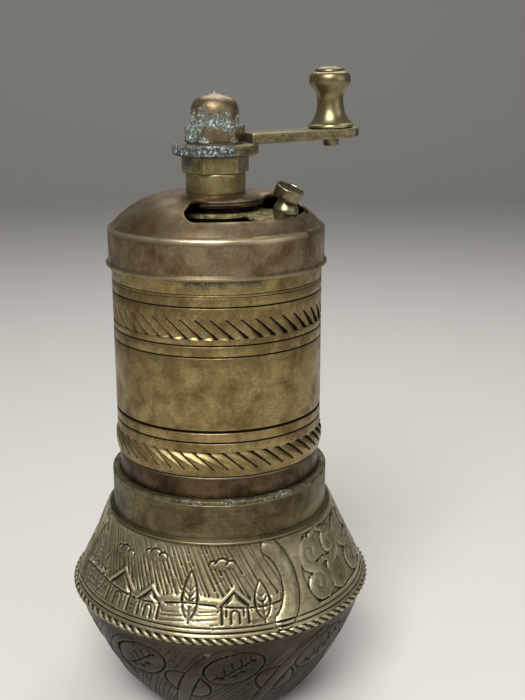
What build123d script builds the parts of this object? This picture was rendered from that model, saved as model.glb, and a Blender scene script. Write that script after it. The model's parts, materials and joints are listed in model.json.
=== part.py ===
from build123d import *
import os
from math import cos, radians, sin, tan

os.makedirs("parts", exist_ok=True)

# Hand mill for poppy seed: spun receptacle, barrel with burrs, crank on top.
# Millimetres. Origin at the centre of the foot, +Z up, -Y front, crank to +X.

# ---- driving dimensions -----------------------------------------------------

# Sheet and fits
shell_sheet = 1.0          # wall of the spun bowl and shoulder
lid_sheet = 0.7            # wall of the domed lid
running_fit = 0.06         # radial clearance of parts that turn or slide
push_fit = 0.05            # radial clearance of parts pressed or soldered home
face_gap = 0.05            # clearance between faces that rub

# Receptacle
foot_radius = 17.3
bowl_height = 32.0
bowl_rim_radius = 36.9
rope_thickness = 1.8       # the rim bead, measured up the side
rope_inset = 0.1           # the bead's middle inside the edges of both shells
shoulder_height = 18.2
shoulder_edge = 0.6        # flat of the shoulder's top left outside the neck's flange
ledge_reach = 1.8          # how far the ledge carries the spigot
neck_height = 9.3
neck_wall = 1.85
neck_flange_lip = 1.2
neck_flange_height = 0.5
neck_wire_thickness = 1.1
neck_wire_bulge = 0.1      # the wire's overhang on both sides of its foot

# Barrel
barrel_radius = 25.0
spigot_step = 0.3          # the barrel stands this far outside the spigot
spigot_depth = 10.4        # length of spigot inside the neck and its wire
spigot_exposed = 5.4       # length of spigot seen above the neck
spigot_wall = 2.8
spigot_lead = 0.4          # chamfer that leads the spigot into the neck
barrel_wall = 1.3
barrel_length = 53.4
sleeve_overlap = 6.2       # length of the sleeve inside the barrel
burr_pin_radius = 1.2
burr_pin_height = 6.0      # above the sleeve's lower end
burr_pin_bite = 1.3
burr_pin_recess = 0.2      # the pins' outer ends lie below the spigot's face
burr_pin_count = 3
burr_pin_start = 30.0

# Bands and grooves of the barrel, heights above its lower end
lower_band_start = 0.1
lower_band_width = 5.7
lower_band_rise = 0.45
lower_band_root = 0.3      # depth to which the raised band is rooted in the wall
lower_cut_low = 1.6
lower_cut_high = 5.8
lower_cut_count = 47
lower_cut_start = -87.9    # upper end of one cut, degrees round from +X
lower_cut_sweep = 10.8     # degrees that a cut runs round the barrel
upper_cut_low = 32.0
upper_cut_high = 36.5
upper_cut_count = 46
upper_cut_start = -85.4
upper_cut_sweep = 12.0
cut_depth = 0.55
cut_width = 1.5
cut_tail_depth = 0.12
cut_tail_width = 0.35
tool_overrun = 0.3         # how far cutting outlines run out of the metal
groove_heights = (8.0, 10.6, 28.0, 30.6, 39.25, 41.45, 42.05)
groove_widths = (0.5, 0.8, 0.45, 0.45, 0.45, 0.25, 0.25)
groove_depth = 0.35

# Lid
lid_skirt_thickness = 0.55
lid_skirt_height = 8.3
lid_lip_flare = 0.6
lid_lip_height = 1.3
lid_rise = 8.1             # crown above the barrel's upper edge
lid_flat_radius = 9.3
lid_crown_pull = 6.2       # how far the crown stays nearly level
lid_edge_pull = (-4.3, 4.8)  # handle of the dome's curve at its edge
lid_groove_inset = 0.2     # the groove round the dome lies inside the barrel's radius
lid_groove_drop = 7.1
lid_round = 0.25           # small rounds of the crease and the lip
lid_crease_drop = 0.7
slot_gap = 0.8             # from the shutter's hub to the slot's inner edge
slot_rim = 2.8             # from the slot's outer edge to the groove
slot_start = -113.0        # degrees round from +X
slot_sweep = 113.0
slot_corner = 3.5
island_bead = 0.65         # bead under the slot's inner edge
island_bead_drop = 0.3

# Collar bush that carries the shutter and guides the shaft
shaft_radius = 3.0
bush_radius = 7.0
bush_height = 4.6
bush_stem_radius = 5.0
bush_chamfer = 0.25
spacer_radius = 9.2
spacer_height = 3.25
hub_radius = 10.5
hub_thickness = 0.9
washer_radius = 8.0
washer_thickness = 0.5
ring_nut_flats = 13.0
ring_nut_height = 3.0

# Shutter
blade_overlap = 0.6        # the blade reaches this far under the slot's outer edge
blade_root_lap = 1.5       # the blade is rooted this far inside the hub's edge
blade_thickness = 0.6
blade_slope = 10.5         # degrees down from the hub
blade_start = -61.0        # leading edge in the rest position
blade_sweep = 134.0
knob_azimuth = -31.0
knob_inset = 3.8           # from the slot's outer edge to the knob's axis
knob_lean = 12.0
knob_bulb = 2.85
knob_bulb_height = 2.05
knob_foot = 1.77           # radius where the bulb meets the blade
knob_neck = 1.95
knob_neck_height = 4.2
knob_head = 3.3
knob_head_thickness = 2.6
knob_head_start = 5.1
knob_head_lean = 23.5
knob_head_root = 0.6       # the neck runs this far up into the leaning head
knob_rim = 0.45            # rim left round the dished face
knob_dish = 0.35
knob_stem = 1.2
knob_tail_radius = 1.9
knob_tail_height = 0.5

# Bearing bridge over the burrs
bridge_thickness = 2.5
bridge_rim = 2.65
bridge_hub_radius = 7.0
bridge_arm_width = 4.5
bridge_arm_count = 3
bridge_bush_radius = 4.5
bridge_bush_flange = 1.0
bridge_bush_drop = 0.8

# Burrs
burr_height = 14.0
burr_lift = 1.0            # of the outer burr above the sleeve's lower end
burr_top_radius = 13.2     # bore over the crests of the outer teeth
burr_foot_radius = 16.2
burr_gap = 0.45
burr_tooth_depth = 1.4
outer_tooth_count = 24
inner_tooth_count = 20
burr_twist = 32.0          # degrees over the outer burr's height
burr_nose_twist = 12.0     # more twist over the nose
burr_steps = 4             # straight stretches of a tooth
burr_nose_height = 4.0
burr_nose_radius = 8.6
burr_seat_flats = 4.2

# Shaft below the bush
shaft_collar_radius = 4.6
shaft_collar_height = 1.4
shaft_foot_radius = 2.5
burr_recess_radius = 7.6
burr_recess_depth = 5.0
burr_nut_flats = 8.0
burr_nut_height = 3.0
burr_washer_radius = 5.5
burr_washer_thickness = 0.6
shaft_end_margin = 0.4
shaft_chamfer = 0.5

# Crank
crank_azimuth = 15.0       # direction of the arm, degrees round from +X
nut_flats = 13.9
nut_height = 4.0
hex_turn = 10.0            # degrees of one corner of both nuts round from +X
eye_radius = 10.05
eye_thickness = 2.6
eye_edge = 0.7
arm_slope = 2.0            # degrees of climb towards the handle
arm_thickness = 2.25
arm_root_width = 8.6
arm_root_drop = 0.4        # the arm's root is forged into the top of the eye
arm_tip_width = 10.4
arm_tip_corner = 4.37
arm_washer_gap = 0.3       # between the arm's root and the nut or its washer
arm_root_start = 7.7
arm_length = 28.7          # shaft's axis to handle's axis
arm_overhang = 6.5
shaft_square = 4.9
square_overrun = 0.8       # the shaft's square runs past both faces of the eye
cap_washer_radius = 6.6
cap_washer_thickness = 0.4
cap_flats = 12.3
cap_hex_height = 3.7
cap_dome_radius = 5.6
cap_dome_height = 7.5
cap_skirt_height = 1.2     # upright foot of the dome
cap_side_pull = 3.4        # how far the dome's side stays nearly upright
cap_top_pull = 3.5         # radius where the dome turns level
cap_tip_radius = 0.8
cap_tip_flat = 0.48
cap_tip_height = 1.0
cap_roof = 2.4
cap_shaft_gap = 0.6        # between the shaft's end and the roof of its bore

# Handle
rivet_radius = 1.5
rivet_foot_radius = 1.95
rivet_foot_height = 1.9
rivet_cap_radius = 2.45
rivet_cap_height = 1.1
rivet_cap_round = 0.6
handle_height = 13.0
handle_base_radius = 5.45
handle_base_height = 0.8
handle_base_round = 0.3
handle_neck_radius = 3.1
handle_neck_height = 6.6
handle_head_radius = 4.95
handle_head_height = 10.9
handle_top_radius = 2.23   # the level ring round the rivet's cap
handle_play = 0.15

# ---- heights and radii worked out from the sizes above ------------------------

seam_low = bowl_height
seam_high = seam_low + rope_thickness
ledge_z = seam_high + shoulder_height
neck_top = ledge_z + neck_height
wire_top = neck_top + neck_wire_thickness
barrel_foot = ledge_z + spigot_depth + spigot_exposed
barrel_top = barrel_foot + barrel_length
barrel_bore = barrel_radius - barrel_wall
spigot_radius = barrel_radius - spigot_step
sleeve_top = barrel_foot + sleeve_overlap
sleeve_bore = spigot_radius - spigot_wall
neck_bore = spigot_radius + running_fit
neck_radius = neck_bore + neck_wall
neck_flange_radius = neck_radius + neck_flange_lip
shoulder_top_radius = neck_flange_radius + shoulder_edge

crown_z = barrel_top + lid_rise
crown_under = crown_z - lid_sheet
spacer_foot = crown_under - spacer_height
hub_top = spacer_foot - face_gap
hub_foot = hub_top - hub_thickness
washer_foot = hub_foot - washer_thickness
ring_nut_foot = washer_foot - ring_nut_height
bush_top = crown_z + bush_height
nut_top = bush_top + nut_height
eye_top = nut_top + eye_thickness
washer_top = eye_top + cap_washer_thickness
cap_hex_top = washer_top + cap_hex_height
cap_top = cap_hex_top + cap_dome_height

lid_groove_radius = barrel_radius - lid_groove_inset
slot_inner = hub_radius + slot_gap
slot_outer = lid_groove_radius - slot_rim
blade_reach = slot_outer + blade_overlap
knob_radius = slot_outer - knob_inset

outer_burr_foot = ledge_z + burr_lift
outer_burr_top = outer_burr_foot + burr_height
bridge_foot = sleeve_top
bridge_top = bridge_foot + bridge_thickness
shaft_bore = shaft_radius + running_fit
recess_roof = outer_burr_foot + burr_recess_depth
burr_nose_top = outer_burr_top + burr_nose_height
shaft_collar_top = burr_nose_top + shaft_collar_height
burr_nut_top = recess_roof - burr_washer_thickness
shaft_foot = burr_nut_top - burr_nut_height - shaft_end_margin
shaft_top = cap_top - cap_roof - cap_tip_height


# ---- helpers ------------------------------------------------------------------

def polar(radius, angle, height=0.0):
    """Point at a radius and an angle in degrees round the shaft's axis."""
    return (radius * cos(radians(angle)), radius * sin(radians(angle)), height)


def side_plane(angle=0.0):
    """Upright plane through the axis: x is the radius, y is the height."""
    return Plane(origin=(0, 0, 0), x_dir=polar(1, angle), z_dir=polar(1, angle - 90))


def radial_plane(angle, height, reach):
    """Plane that faces outwards at a reach from the axis."""
    return Plane(origin=polar(reach, angle, height), z_dir=polar(1, angle))


def leaning_plane(angle, radius, height, lean):
    """Plane at a point, its normal leaning outwards by lean degrees."""
    outwards = polar(sin(radians(lean)), angle, cos(radians(lean)))
    return Plane(origin=polar(radius, angle, height), x_dir=polar(1, angle - 90), z_dir=outwards)


def tooth_points(crest, root, count, turn):
    """Star outline with a crest and a root for each tooth, turned in degrees."""
    step = 360.0 / count
    points = []
    for i in range(count):
        points.append(polar(crest, turn + i * step)[:2])
        points.append(polar(root, turn + (i + 0.5) * step)[:2])
    return points


def corner_radius(flats):
    """Radius over the corners of a hexagon of a width across flats."""
    return flats / 2 / cos(radians(30))


def save(piece, node):
    """Name a finished piece and write it."""
    piece.part.label = node
    export_step(piece.part, f"parts/{node}.step")


# ---- receptacle -----------------------------------------------------------------

# The bowl's side is one curve; its handles are offsets from the foot and the rim,
# and the inner side follows it about one sheet further in.
bowl_foot_handle = (foot_radius + 6.7, 5.0)
bowl_rim_handle = (bowl_rim_radius - 6.0, bowl_height - 16.7)

with BuildPart() as bowl:
    with BuildSketch(Plane.XZ):
        with BuildLine():
            Line((0, 0), (foot_radius, 0))
            Bezier((foot_radius, 0), bowl_foot_handle, bowl_rim_handle, (bowl_rim_radius, bowl_height))
            Line((bowl_rim_radius, bowl_height), (bowl_rim_radius - 1.1 * shell_sheet, bowl_height))
            Bezier(
                (bowl_rim_radius - 1.1 * shell_sheet, bowl_height),
                (bowl_rim_handle[0] - 0.9 * shell_sheet, bowl_rim_handle[1] + 0.5 * shell_sheet),
                (bowl_foot_handle[0] - 0.7 * shell_sheet, bowl_foot_handle[1] + 0.8 * shell_sheet),
                (foot_radius - 0.2 * shell_sheet, shell_sheet),
            )
            Line((foot_radius - 0.2 * shell_sheet, shell_sheet), (0, shell_sheet))
            Line((0, shell_sheet), (0, 0))
        make_face()
    revolve(axis=Axis.Z)
save(bowl, "bowl")

# The rim bead stands proud of both shells, and its tongue lies between their edges.
rope_centre = bowl_rim_radius - rope_inset
rope_tongue = bowl_rim_radius - shell_sheet

with BuildPart() as rope_rim:
    with BuildSketch(Plane.XZ):
        with BuildLine():
            Line((rope_tongue, seam_low), (rope_centre, seam_low))
            ThreePointArc(
                (rope_centre, seam_low),
                (rope_centre + rope_thickness / 2, seam_low + rope_thickness / 2),
                (rope_centre, seam_high),
            )
            Line((rope_centre, seam_high), (rope_tongue, seam_high))
            Line((rope_tongue, seam_high), (rope_tongue, seam_low))
        make_face()
    revolve(axis=Axis.Z)
save(rope_rim, "rope_rim")

ledge_bore = spigot_radius - ledge_reach
shoulder_low_handle = (bowl_rim_radius - 2.6, seam_high + 4.5)
shoulder_high_handle = (shoulder_top_radius + 2.5, ledge_z - 7.4)

with BuildPart() as shoulder:
    with BuildSketch(Plane.XZ):
        with BuildLine():
            Bezier(
                (bowl_rim_radius, seam_high),
                shoulder_low_handle,
                shoulder_high_handle,
                (shoulder_top_radius, ledge_z),
            )
            Line((shoulder_top_radius, ledge_z), (ledge_bore, ledge_z))
            Line((ledge_bore, ledge_z), (ledge_bore, ledge_z - shell_sheet))
            Line(
                (ledge_bore, ledge_z - shell_sheet),
                (shoulder_top_radius - 0.8 * shell_sheet, ledge_z - shell_sheet),
            )
            Bezier(
                (shoulder_top_radius - 0.8 * shell_sheet, ledge_z - shell_sheet),
                (shoulder_high_handle[0] - 0.9 * shell_sheet, shoulder_high_handle[1] - 0.5 * shell_sheet),
                (shoulder_low_handle[0] - 0.9 * shell_sheet, shoulder_low_handle[1] - 0.5 * shell_sheet),
                (bowl_rim_radius - 1.2 * shell_sheet, seam_high),
            )
            Line((bowl_rim_radius - 1.2 * shell_sheet, seam_high), (bowl_rim_radius, seam_high))
        make_face()
    revolve(axis=Axis.Z)
save(shoulder, "shoulder")

with BuildPart() as neck_collar:
    with BuildSketch(Plane.XZ):
        with BuildLine():
            Polyline(
                (neck_bore, ledge_z),
                (neck_flange_radius, ledge_z),
                (neck_flange_radius, ledge_z + neck_flange_height),
                (neck_radius, ledge_z + neck_flange_height + neck_flange_lip / 2),
                (neck_radius, neck_top),
                (neck_bore, neck_top),
                close=True,
            )
        make_face()
    revolve(axis=Axis.Z)
save(neck_collar, "neck_collar")

wire_inner = neck_radius - neck_wire_thickness

with BuildPart() as neck_wire:
    with BuildSketch(Plane.XZ):
        with BuildLine():
            Line((wire_inner, neck_top), (neck_radius, neck_top))
            Spline(
                (neck_radius, neck_top),
                (neck_radius + neck_wire_bulge, neck_top + neck_wire_thickness / 2),
                (neck_radius - neck_wire_thickness / 2, wire_top),
                (wire_inner - neck_wire_bulge, neck_top + neck_wire_thickness / 2),
                (wire_inner, neck_top),
            )
        make_face()
    revolve(axis=Axis.Z)
save(neck_wire, "neck_wire")

# ---- barrel ---------------------------------------------------------------------

pin_hole = burr_pin_radius + push_fit
pin_z = ledge_z + burr_pin_height
pin_inner = sleeve_bore - push_fit - burr_pin_bite
pin_outer = spigot_radius - burr_pin_recess
pin_angles = [burr_pin_start + i * 360 / burr_pin_count for i in range(burr_pin_count)]

with BuildPart() as spigot_sleeve:
    with BuildSketch(Plane.XY.offset(ledge_z)):
        Circle(spigot_radius)
        Circle(sleeve_bore, mode=Mode.SUBTRACT)
    extrude(amount=barrel_foot - ledge_z)
    chamfer(spigot_sleeve.edges().group_by(Axis.Z)[0].sort_by(SortBy.RADIUS)[-1], spigot_lead)
    with BuildSketch(Plane.XY.offset(barrel_foot)):
        Circle(barrel_bore - push_fit)
        Circle(sleeve_bore, mode=Mode.SUBTRACT)
    extrude(amount=sleeve_overlap)
    for angle in pin_angles:
        with BuildSketch(radial_plane(angle, pin_z, sleeve_bore - tool_overrun)):
            Circle(pin_hole)
        extrude(amount=spigot_wall + 2 * tool_overrun, mode=Mode.SUBTRACT)
save(spigot_sleeve, "spigot_sleeve")


def cut_outline(width, depth):
    """Cross-section of a graver cut: upright walls above the metal, a vee in it."""
    half = width / 2
    return [(-half, -tool_overrun), (half, -tool_overrun), (half, 0), (0, depth), (-half, 0)]


def slanted_cut(radius, low, high, start, sweep, wide_at_top):
    """Graver cut that runs down to the right, wide at one end and fine at the other."""
    top = Vector(*polar(radius, start, barrel_foot + high))
    foot = Vector(*polar(radius, start + sweep, barrel_foot + low))
    along = (foot - top).normalized()
    outwards = Vector(*polar(1, start + sweep / 2))
    across = along.cross(outwards).normalized()
    wide = cut_outline(cut_width, cut_depth)
    fine = cut_outline(cut_tail_width, cut_tail_depth)
    if wide_at_top:
        ends = ((top, wide), (foot, fine))
    else:
        ends = ((top, fine), (foot, wide))
    with BuildPart() as cutter:
        for point, outline in ends:
            with BuildSketch(Plane(origin=point, x_dir=across, z_dir=along)):
                with BuildLine():
                    Polyline(*outline, close=True)
                make_face()
        loft(ruled=True)
    return cutter.part


upper_cut = slanted_cut(
    barrel_radius, upper_cut_low, upper_cut_high, upper_cut_start, upper_cut_sweep, False
)
lower_cut = slanted_cut(
    barrel_radius + lower_band_rise,
    lower_cut_low,
    lower_cut_high,
    lower_cut_start,
    lower_cut_sweep,
    True,
)

band_low = barrel_foot + lower_band_start
band_high = band_low + lower_band_width
band_root = barrel_radius - lower_band_root

with BuildPart() as hopper_cylinder:
    with BuildSketch(Plane.XY.offset(barrel_foot)):
        Circle(barrel_radius)
        Circle(barrel_bore, mode=Mode.SUBTRACT)
    extrude(amount=barrel_length)
    with BuildSketch(Plane.XZ):
        with BuildLine():
            Line((band_root, band_low), (barrel_radius, band_low))
            ThreePointArc(
                (barrel_radius, band_low),
                (barrel_radius + lower_band_rise, (band_low + band_high) / 2),
                (barrel_radius, band_high),
            )
            Line((barrel_radius, band_high), (band_root, band_high))
            Line((band_root, band_high), (band_root, band_low))
        make_face()
    revolve(axis=Axis.Z)
    with BuildSketch(Plane.XZ):
        for height, width in zip(groove_heights, groove_widths):
            with BuildLine():
                Polyline(
                    (barrel_radius + tool_overrun, barrel_foot + height - width / 2),
                    (barrel_radius, barrel_foot + height - width / 2),
                    (barrel_radius - groove_depth, barrel_foot + height - width / 8),
                    (barrel_radius - groove_depth, barrel_foot + height + width / 8),
                    (barrel_radius, barrel_foot + height + width / 2),
                    (barrel_radius + tool_overrun, barrel_foot + height + width / 2),
                    close=True,
                )
            make_face()
    revolve(axis=Axis.Z, mode=Mode.SUBTRACT)
    with PolarLocations(0, upper_cut_count):
        add(upper_cut, mode=Mode.SUBTRACT)
    with PolarLocations(0, lower_cut_count):
        add(lower_cut, mode=Mode.SUBTRACT)
save(hopper_cylinder, "hopper_cylinder")

with BuildPart() as burr_pins:
    for angle in pin_angles:
        with BuildSketch(radial_plane(angle, pin_z, pin_inner)):
            Circle(burr_pin_radius)
        extrude(amount=pin_outer - pin_inner)
save(burr_pins, "burr_pins")

with BuildPart() as bearing_bridge:
    with BuildSketch(Plane.XY.offset(bridge_foot)):
        Circle(barrel_bore - push_fit)
        Circle(barrel_bore - push_fit - bridge_rim, mode=Mode.SUBTRACT)
        Circle(bridge_hub_radius)
        with PolarLocations((barrel_bore - bridge_rim) / 2, bridge_arm_count, start_angle=30):
            Rectangle(barrel_bore - bridge_rim, bridge_arm_width)
        Circle(bridge_bush_radius + push_fit, mode=Mode.SUBTRACT)
    extrude(amount=bridge_thickness)
save(bearing_bridge, "bearing_bridge")

with BuildPart() as bridge_bush:
    with BuildSketch(Plane.XY.offset(bridge_foot - bridge_bush_drop)):
        Circle(bridge_bush_radius)
    extrude(amount=bridge_thickness + bridge_bush_drop)
    with BuildSketch(Plane.XY.offset(bridge_top)):
        Circle(bridge_bush_radius + bridge_bush_flange)
    extrude(amount=bridge_bush_flange)
    with BuildSketch(Plane.XY.offset(bridge_foot - bridge_bush_drop)):
        Circle(shaft_bore)
    extrude(amount=bridge_thickness + bridge_bush_drop + bridge_bush_flange, mode=Mode.SUBTRACT)
save(bridge_bush, "bridge_bush")


def burr_sections(foot_z, foot_crest, top_z, top_crest, depth, count, twist):
    """Toothed outlines up a burr: height, outline; depth is positive for roots inside."""
    sections = []
    for i in range(burr_steps + 1):
        share = i / burr_steps
        crest = foot_crest + share * (top_crest - foot_crest)
        height = foot_z + share * (top_z - foot_z)
        sections.append((height, tooth_points(crest, crest - depth, count, share * twist)))
    return sections


# The bore of the outer burr runs past both faces by the same taper.
taper = (burr_foot_radius - burr_top_radius) / burr_height

with BuildPart() as outer_burr:
    with BuildSketch(Plane.XY.offset(outer_burr_foot)):
        Circle(sleeve_bore - push_fit)
    extrude(amount=burr_height)
    for height, outline in burr_sections(
        outer_burr_foot - tool_overrun,
        burr_foot_radius + tool_overrun * taper,
        outer_burr_top + tool_overrun,
        burr_top_radius - tool_overrun * taper,
        -burr_tooth_depth,
        outer_tooth_count,
        -burr_twist,
    ):
        with BuildSketch(Plane.XY.offset(height)):
            with BuildLine():
                Polyline(*outline, close=True)
            make_face()
    loft(ruled=True, mode=Mode.SUBTRACT)
    for angle in pin_angles:
        with BuildSketch(radial_plane(angle, pin_z, pin_inner - push_fit)):
            Circle(pin_hole)
        extrude(amount=burr_pin_bite + push_fit + tool_overrun, mode=Mode.SUBTRACT)
save(outer_burr, "outer_burr")

# ---- lid ------------------------------------------------------------------------

skirt_inner = barrel_radius + push_fit
skirt_outer = skirt_inner + lid_skirt_thickness
skirt_foot = barrel_top - lid_skirt_height
groove_z = crown_z - lid_groove_drop
dome_start = (lid_flat_radius, crown_z)
dome_end = (lid_groove_radius, groove_z)
dome_high_handle = (lid_flat_radius + lid_crown_pull, crown_z)
dome_low_handle = (lid_groove_radius + lid_edge_pull[0], groove_z + lid_edge_pull[1])
lip_radius = skirt_outer + lid_lip_flare

# The underside follows the dome about one sheet further in.
dome_under_end = (lid_groove_radius - 0.75 * lid_sheet, groove_z - 0.67 * lid_sheet)

with BuildPart() as lid:
    with BuildSketch(Plane.XZ):
        with BuildLine():
            Line((bush_stem_radius + push_fit, crown_z), dome_start)
            Bezier(dome_start, dome_high_handle, dome_low_handle, dome_end)
            Polyline(
                dome_end,
                (skirt_outer - lid_round, groove_z - lid_round),
                (skirt_outer, groove_z - lid_crease_drop),
                (skirt_outer, skirt_foot + lid_lip_height),
                (lip_radius, skirt_foot + lid_lip_height / 2),
                (lip_radius, skirt_foot + lid_round),
                (lip_radius - lid_round, skirt_foot),
                (skirt_inner, skirt_foot),
                (skirt_inner, barrel_top),
                (dome_under_end[0], barrel_top),
                dome_under_end,
            )
            Bezier(
                dome_under_end,
                (dome_low_handle[0] - 0.75 * lid_sheet, dome_low_handle[1] - 0.67 * lid_sheet),
                (dome_high_handle[0] - 0.2 * lid_sheet, crown_under),
                (lid_flat_radius, crown_under),
            )
            Line((lid_flat_radius, crown_under), (bush_stem_radius + push_fit, crown_under))
            Line((bush_stem_radius + push_fit, crown_under), (bush_stem_radius + push_fit, crown_z))
        make_face()
    revolve(axis=Axis.Z)
    with BuildSketch(side_plane(slot_start)):
        with Locations((slot_inner - island_bead, crown_under - island_bead_drop)):
            Circle(island_bead)
    revolve(axis=Axis.Z, revolution_arc=slot_sweep)
    with BuildSketch(Plane.XY.offset(barrel_top)):
        with BuildLine():
            inner_arc = CenterArc((0, 0), slot_inner, slot_start, slot_sweep)
            outer_arc = CenterArc((0, 0), slot_outer, slot_start, slot_sweep)
            Line(inner_arc @ 0, outer_arc @ 0)
            Line(inner_arc @ 1, outer_arc @ 1)
        make_face()
        fillet(vertices(), slot_corner)
    extrude(amount=lid_rise + tool_overrun, mode=Mode.SUBTRACT)
save(lid, "lid")

with BuildPart() as collar_bush:
    with BuildSketch(Plane.XY.offset(crown_z)):
        Circle(bush_radius)
    extrude(amount=bush_height)
    chamfer(collar_bush.edges().group_by(Axis.Z)[-1], bush_chamfer)
    with BuildSketch(Plane.XY.offset(ring_nut_foot)):
        Circle(bush_stem_radius)
    extrude(amount=crown_z - ring_nut_foot)
    with BuildSketch(Plane.XY.offset(ring_nut_foot)):
        Circle(shaft_bore)
    extrude(amount=bush_top - ring_nut_foot, mode=Mode.SUBTRACT)
save(collar_bush, "collar_bush")

with BuildPart() as shutter_spacer:
    with BuildSketch(Plane.XY.offset(spacer_foot)):
        Circle(spacer_radius)
        Circle(bush_stem_radius + push_fit, mode=Mode.SUBTRACT)
    extrude(amount=spacer_height)
save(shutter_spacer, "shutter_spacer")

with BuildPart() as shutter_washer:
    with BuildSketch(Plane.XY.offset(washer_foot)):
        Circle(washer_radius)
        Circle(bush_stem_radius + push_fit, mode=Mode.SUBTRACT)
    extrude(amount=washer_thickness)
save(shutter_washer, "shutter_washer")

with BuildPart() as bush_ring_nut:
    with BuildSketch(Plane.XY.offset(ring_nut_foot)):
        RegularPolygon(corner_radius(ring_nut_flats), 6)
        Circle(bush_stem_radius + push_fit, mode=Mode.SUBTRACT)
    extrude(amount=ring_nut_height)
save(bush_ring_nut, "bush_ring_nut")

# ---- shutter --------------------------------------------------------------------

blade_fall = tan(radians(blade_slope))


def blade_top(radius):
    """Height of the blade's upper face at a radius."""
    return hub_top - max(0.0, radius - hub_radius) * blade_fall


blade_root = hub_radius - blade_root_lap
blade_drill = 3.0          # long enough to pass the sloping blade

with BuildPart() as shutter_plate:
    with BuildSketch(Plane.XY.offset(hub_foot)):
        Circle(hub_radius)
    extrude(amount=hub_thickness)
    with BuildSketch(side_plane(blade_start)):
        with BuildLine():
            Polyline(
                (blade_root, hub_top),
                (hub_radius, hub_top),
                (blade_reach, blade_top(blade_reach)),
                (blade_reach, blade_top(blade_reach) - blade_thickness),
                (hub_radius, hub_top - blade_thickness),
                (blade_root, hub_top - blade_thickness),
                close=True,
            )
        make_face()
    revolve(axis=Axis.Z, revolution_arc=blade_sweep)
    with BuildSketch(Plane.XY.offset(hub_foot)):
        Circle(bush_stem_radius + running_fit)
    extrude(amount=hub_thickness, mode=Mode.SUBTRACT)
    with BuildSketch(leaning_plane(knob_azimuth, knob_radius, blade_top(knob_radius), knob_lean)):
        Circle(knob_stem + push_fit)
    extrude(amount=blade_drill, both=True, mode=Mode.SUBTRACT)
save(shutter_plate, "shutter_plate")

knob_plane = leaning_plane(knob_azimuth, knob_radius, blade_top(knob_radius), knob_lean)
knob_side = Plane(origin=knob_plane.origin, x_dir=knob_plane.y_dir, z_dir=knob_plane.x_dir)
head_foot_point = knob_plane.origin + knob_plane.z_dir * knob_head_start
head_plane = leaning_plane(
    knob_azimuth,
    head_foot_point.X / cos(radians(knob_azimuth)),
    head_foot_point.Z,
    knob_head_lean,
)
knob_lift = 0.12           # raises the level foot of the bulb clear of the sloping blade
neck_end = knob_head_start + knob_head_root
tail_reach = blade_thickness + knob_lift

with BuildPart() as shutter_knob:
    with BuildSketch(knob_plane.offset(-tail_reach)):
        Circle(knob_stem)
    extrude(amount=tail_reach + knob_bulb_height)
    with BuildSketch(knob_plane.offset(-tail_reach)):
        Circle(knob_tail_radius)
    extrude(amount=-knob_tail_height)
    with BuildSketch(knob_side):
        with BuildLine():
            Line((0, knob_lift), (0, neck_end))
            Line((0, neck_end), (knob_neck, neck_end))
            Line((knob_neck, neck_end), (knob_neck, knob_neck_height))
            Spline(
                (knob_neck, knob_neck_height),
                (knob_bulb, knob_bulb_height),
                (knob_foot, knob_lift),
                tangents=((0, -1), (-0.8, -0.6)),
            )
            Line((knob_foot, knob_lift), (0, knob_lift))
        make_face()
    revolve(axis=Axis(knob_plane.origin, knob_plane.z_dir))
    with BuildSketch(head_plane):
        Circle(knob_head)
    extrude(amount=knob_head_thickness)
    with BuildSketch(head_plane.offset(knob_head_thickness - knob_dish)):
        Circle(knob_head - knob_rim)
    extrude(amount=knob_dish, mode=Mode.SUBTRACT)
save(shutter_knob, "shutter_knob")

# ---- spindle --------------------------------------------------------------------

square_low = nut_top - square_overrun
square_high = eye_top + square_overrun

with BuildPart() as shaft:
    with BuildSketch(Plane.XY.offset(shaft_foot)):
        Circle(shaft_foot_radius)
    extrude(amount=recess_roof - shaft_foot)
    with BuildSketch(Plane.XY.offset(recess_roof)):
        Circle(shaft_foot_radius)
        Rectangle(2 * shaft_foot_radius, burr_seat_flats, mode=Mode.INTERSECT)
    extrude(amount=burr_nose_top - recess_roof)
    with BuildSketch(Plane.XY.offset(burr_nose_top)):
        Circle(shaft_collar_radius)
    extrude(amount=shaft_collar_height)
    with BuildSketch(Plane.XY.offset(shaft_collar_top)):
        Circle(shaft_radius)
    extrude(amount=square_low - shaft_collar_top)
    with BuildSketch(Plane.XY.offset(square_low)):
        Circle(shaft_radius)
        Rectangle(shaft_square, shaft_square, rotation=crank_azimuth, mode=Mode.INTERSECT)
    extrude(amount=square_high - square_low)
    with BuildSketch(Plane.XY.offset(square_high)):
        Circle(shaft_radius)
    extrude(amount=shaft_top - square_high)
    chamfer(shaft.edges().group_by(Axis.Z)[-1], shaft_chamfer)
save(shaft, "shaft")

inner_foot_crest = burr_foot_radius - burr_gap
inner_top_crest = burr_top_radius - burr_gap

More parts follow.
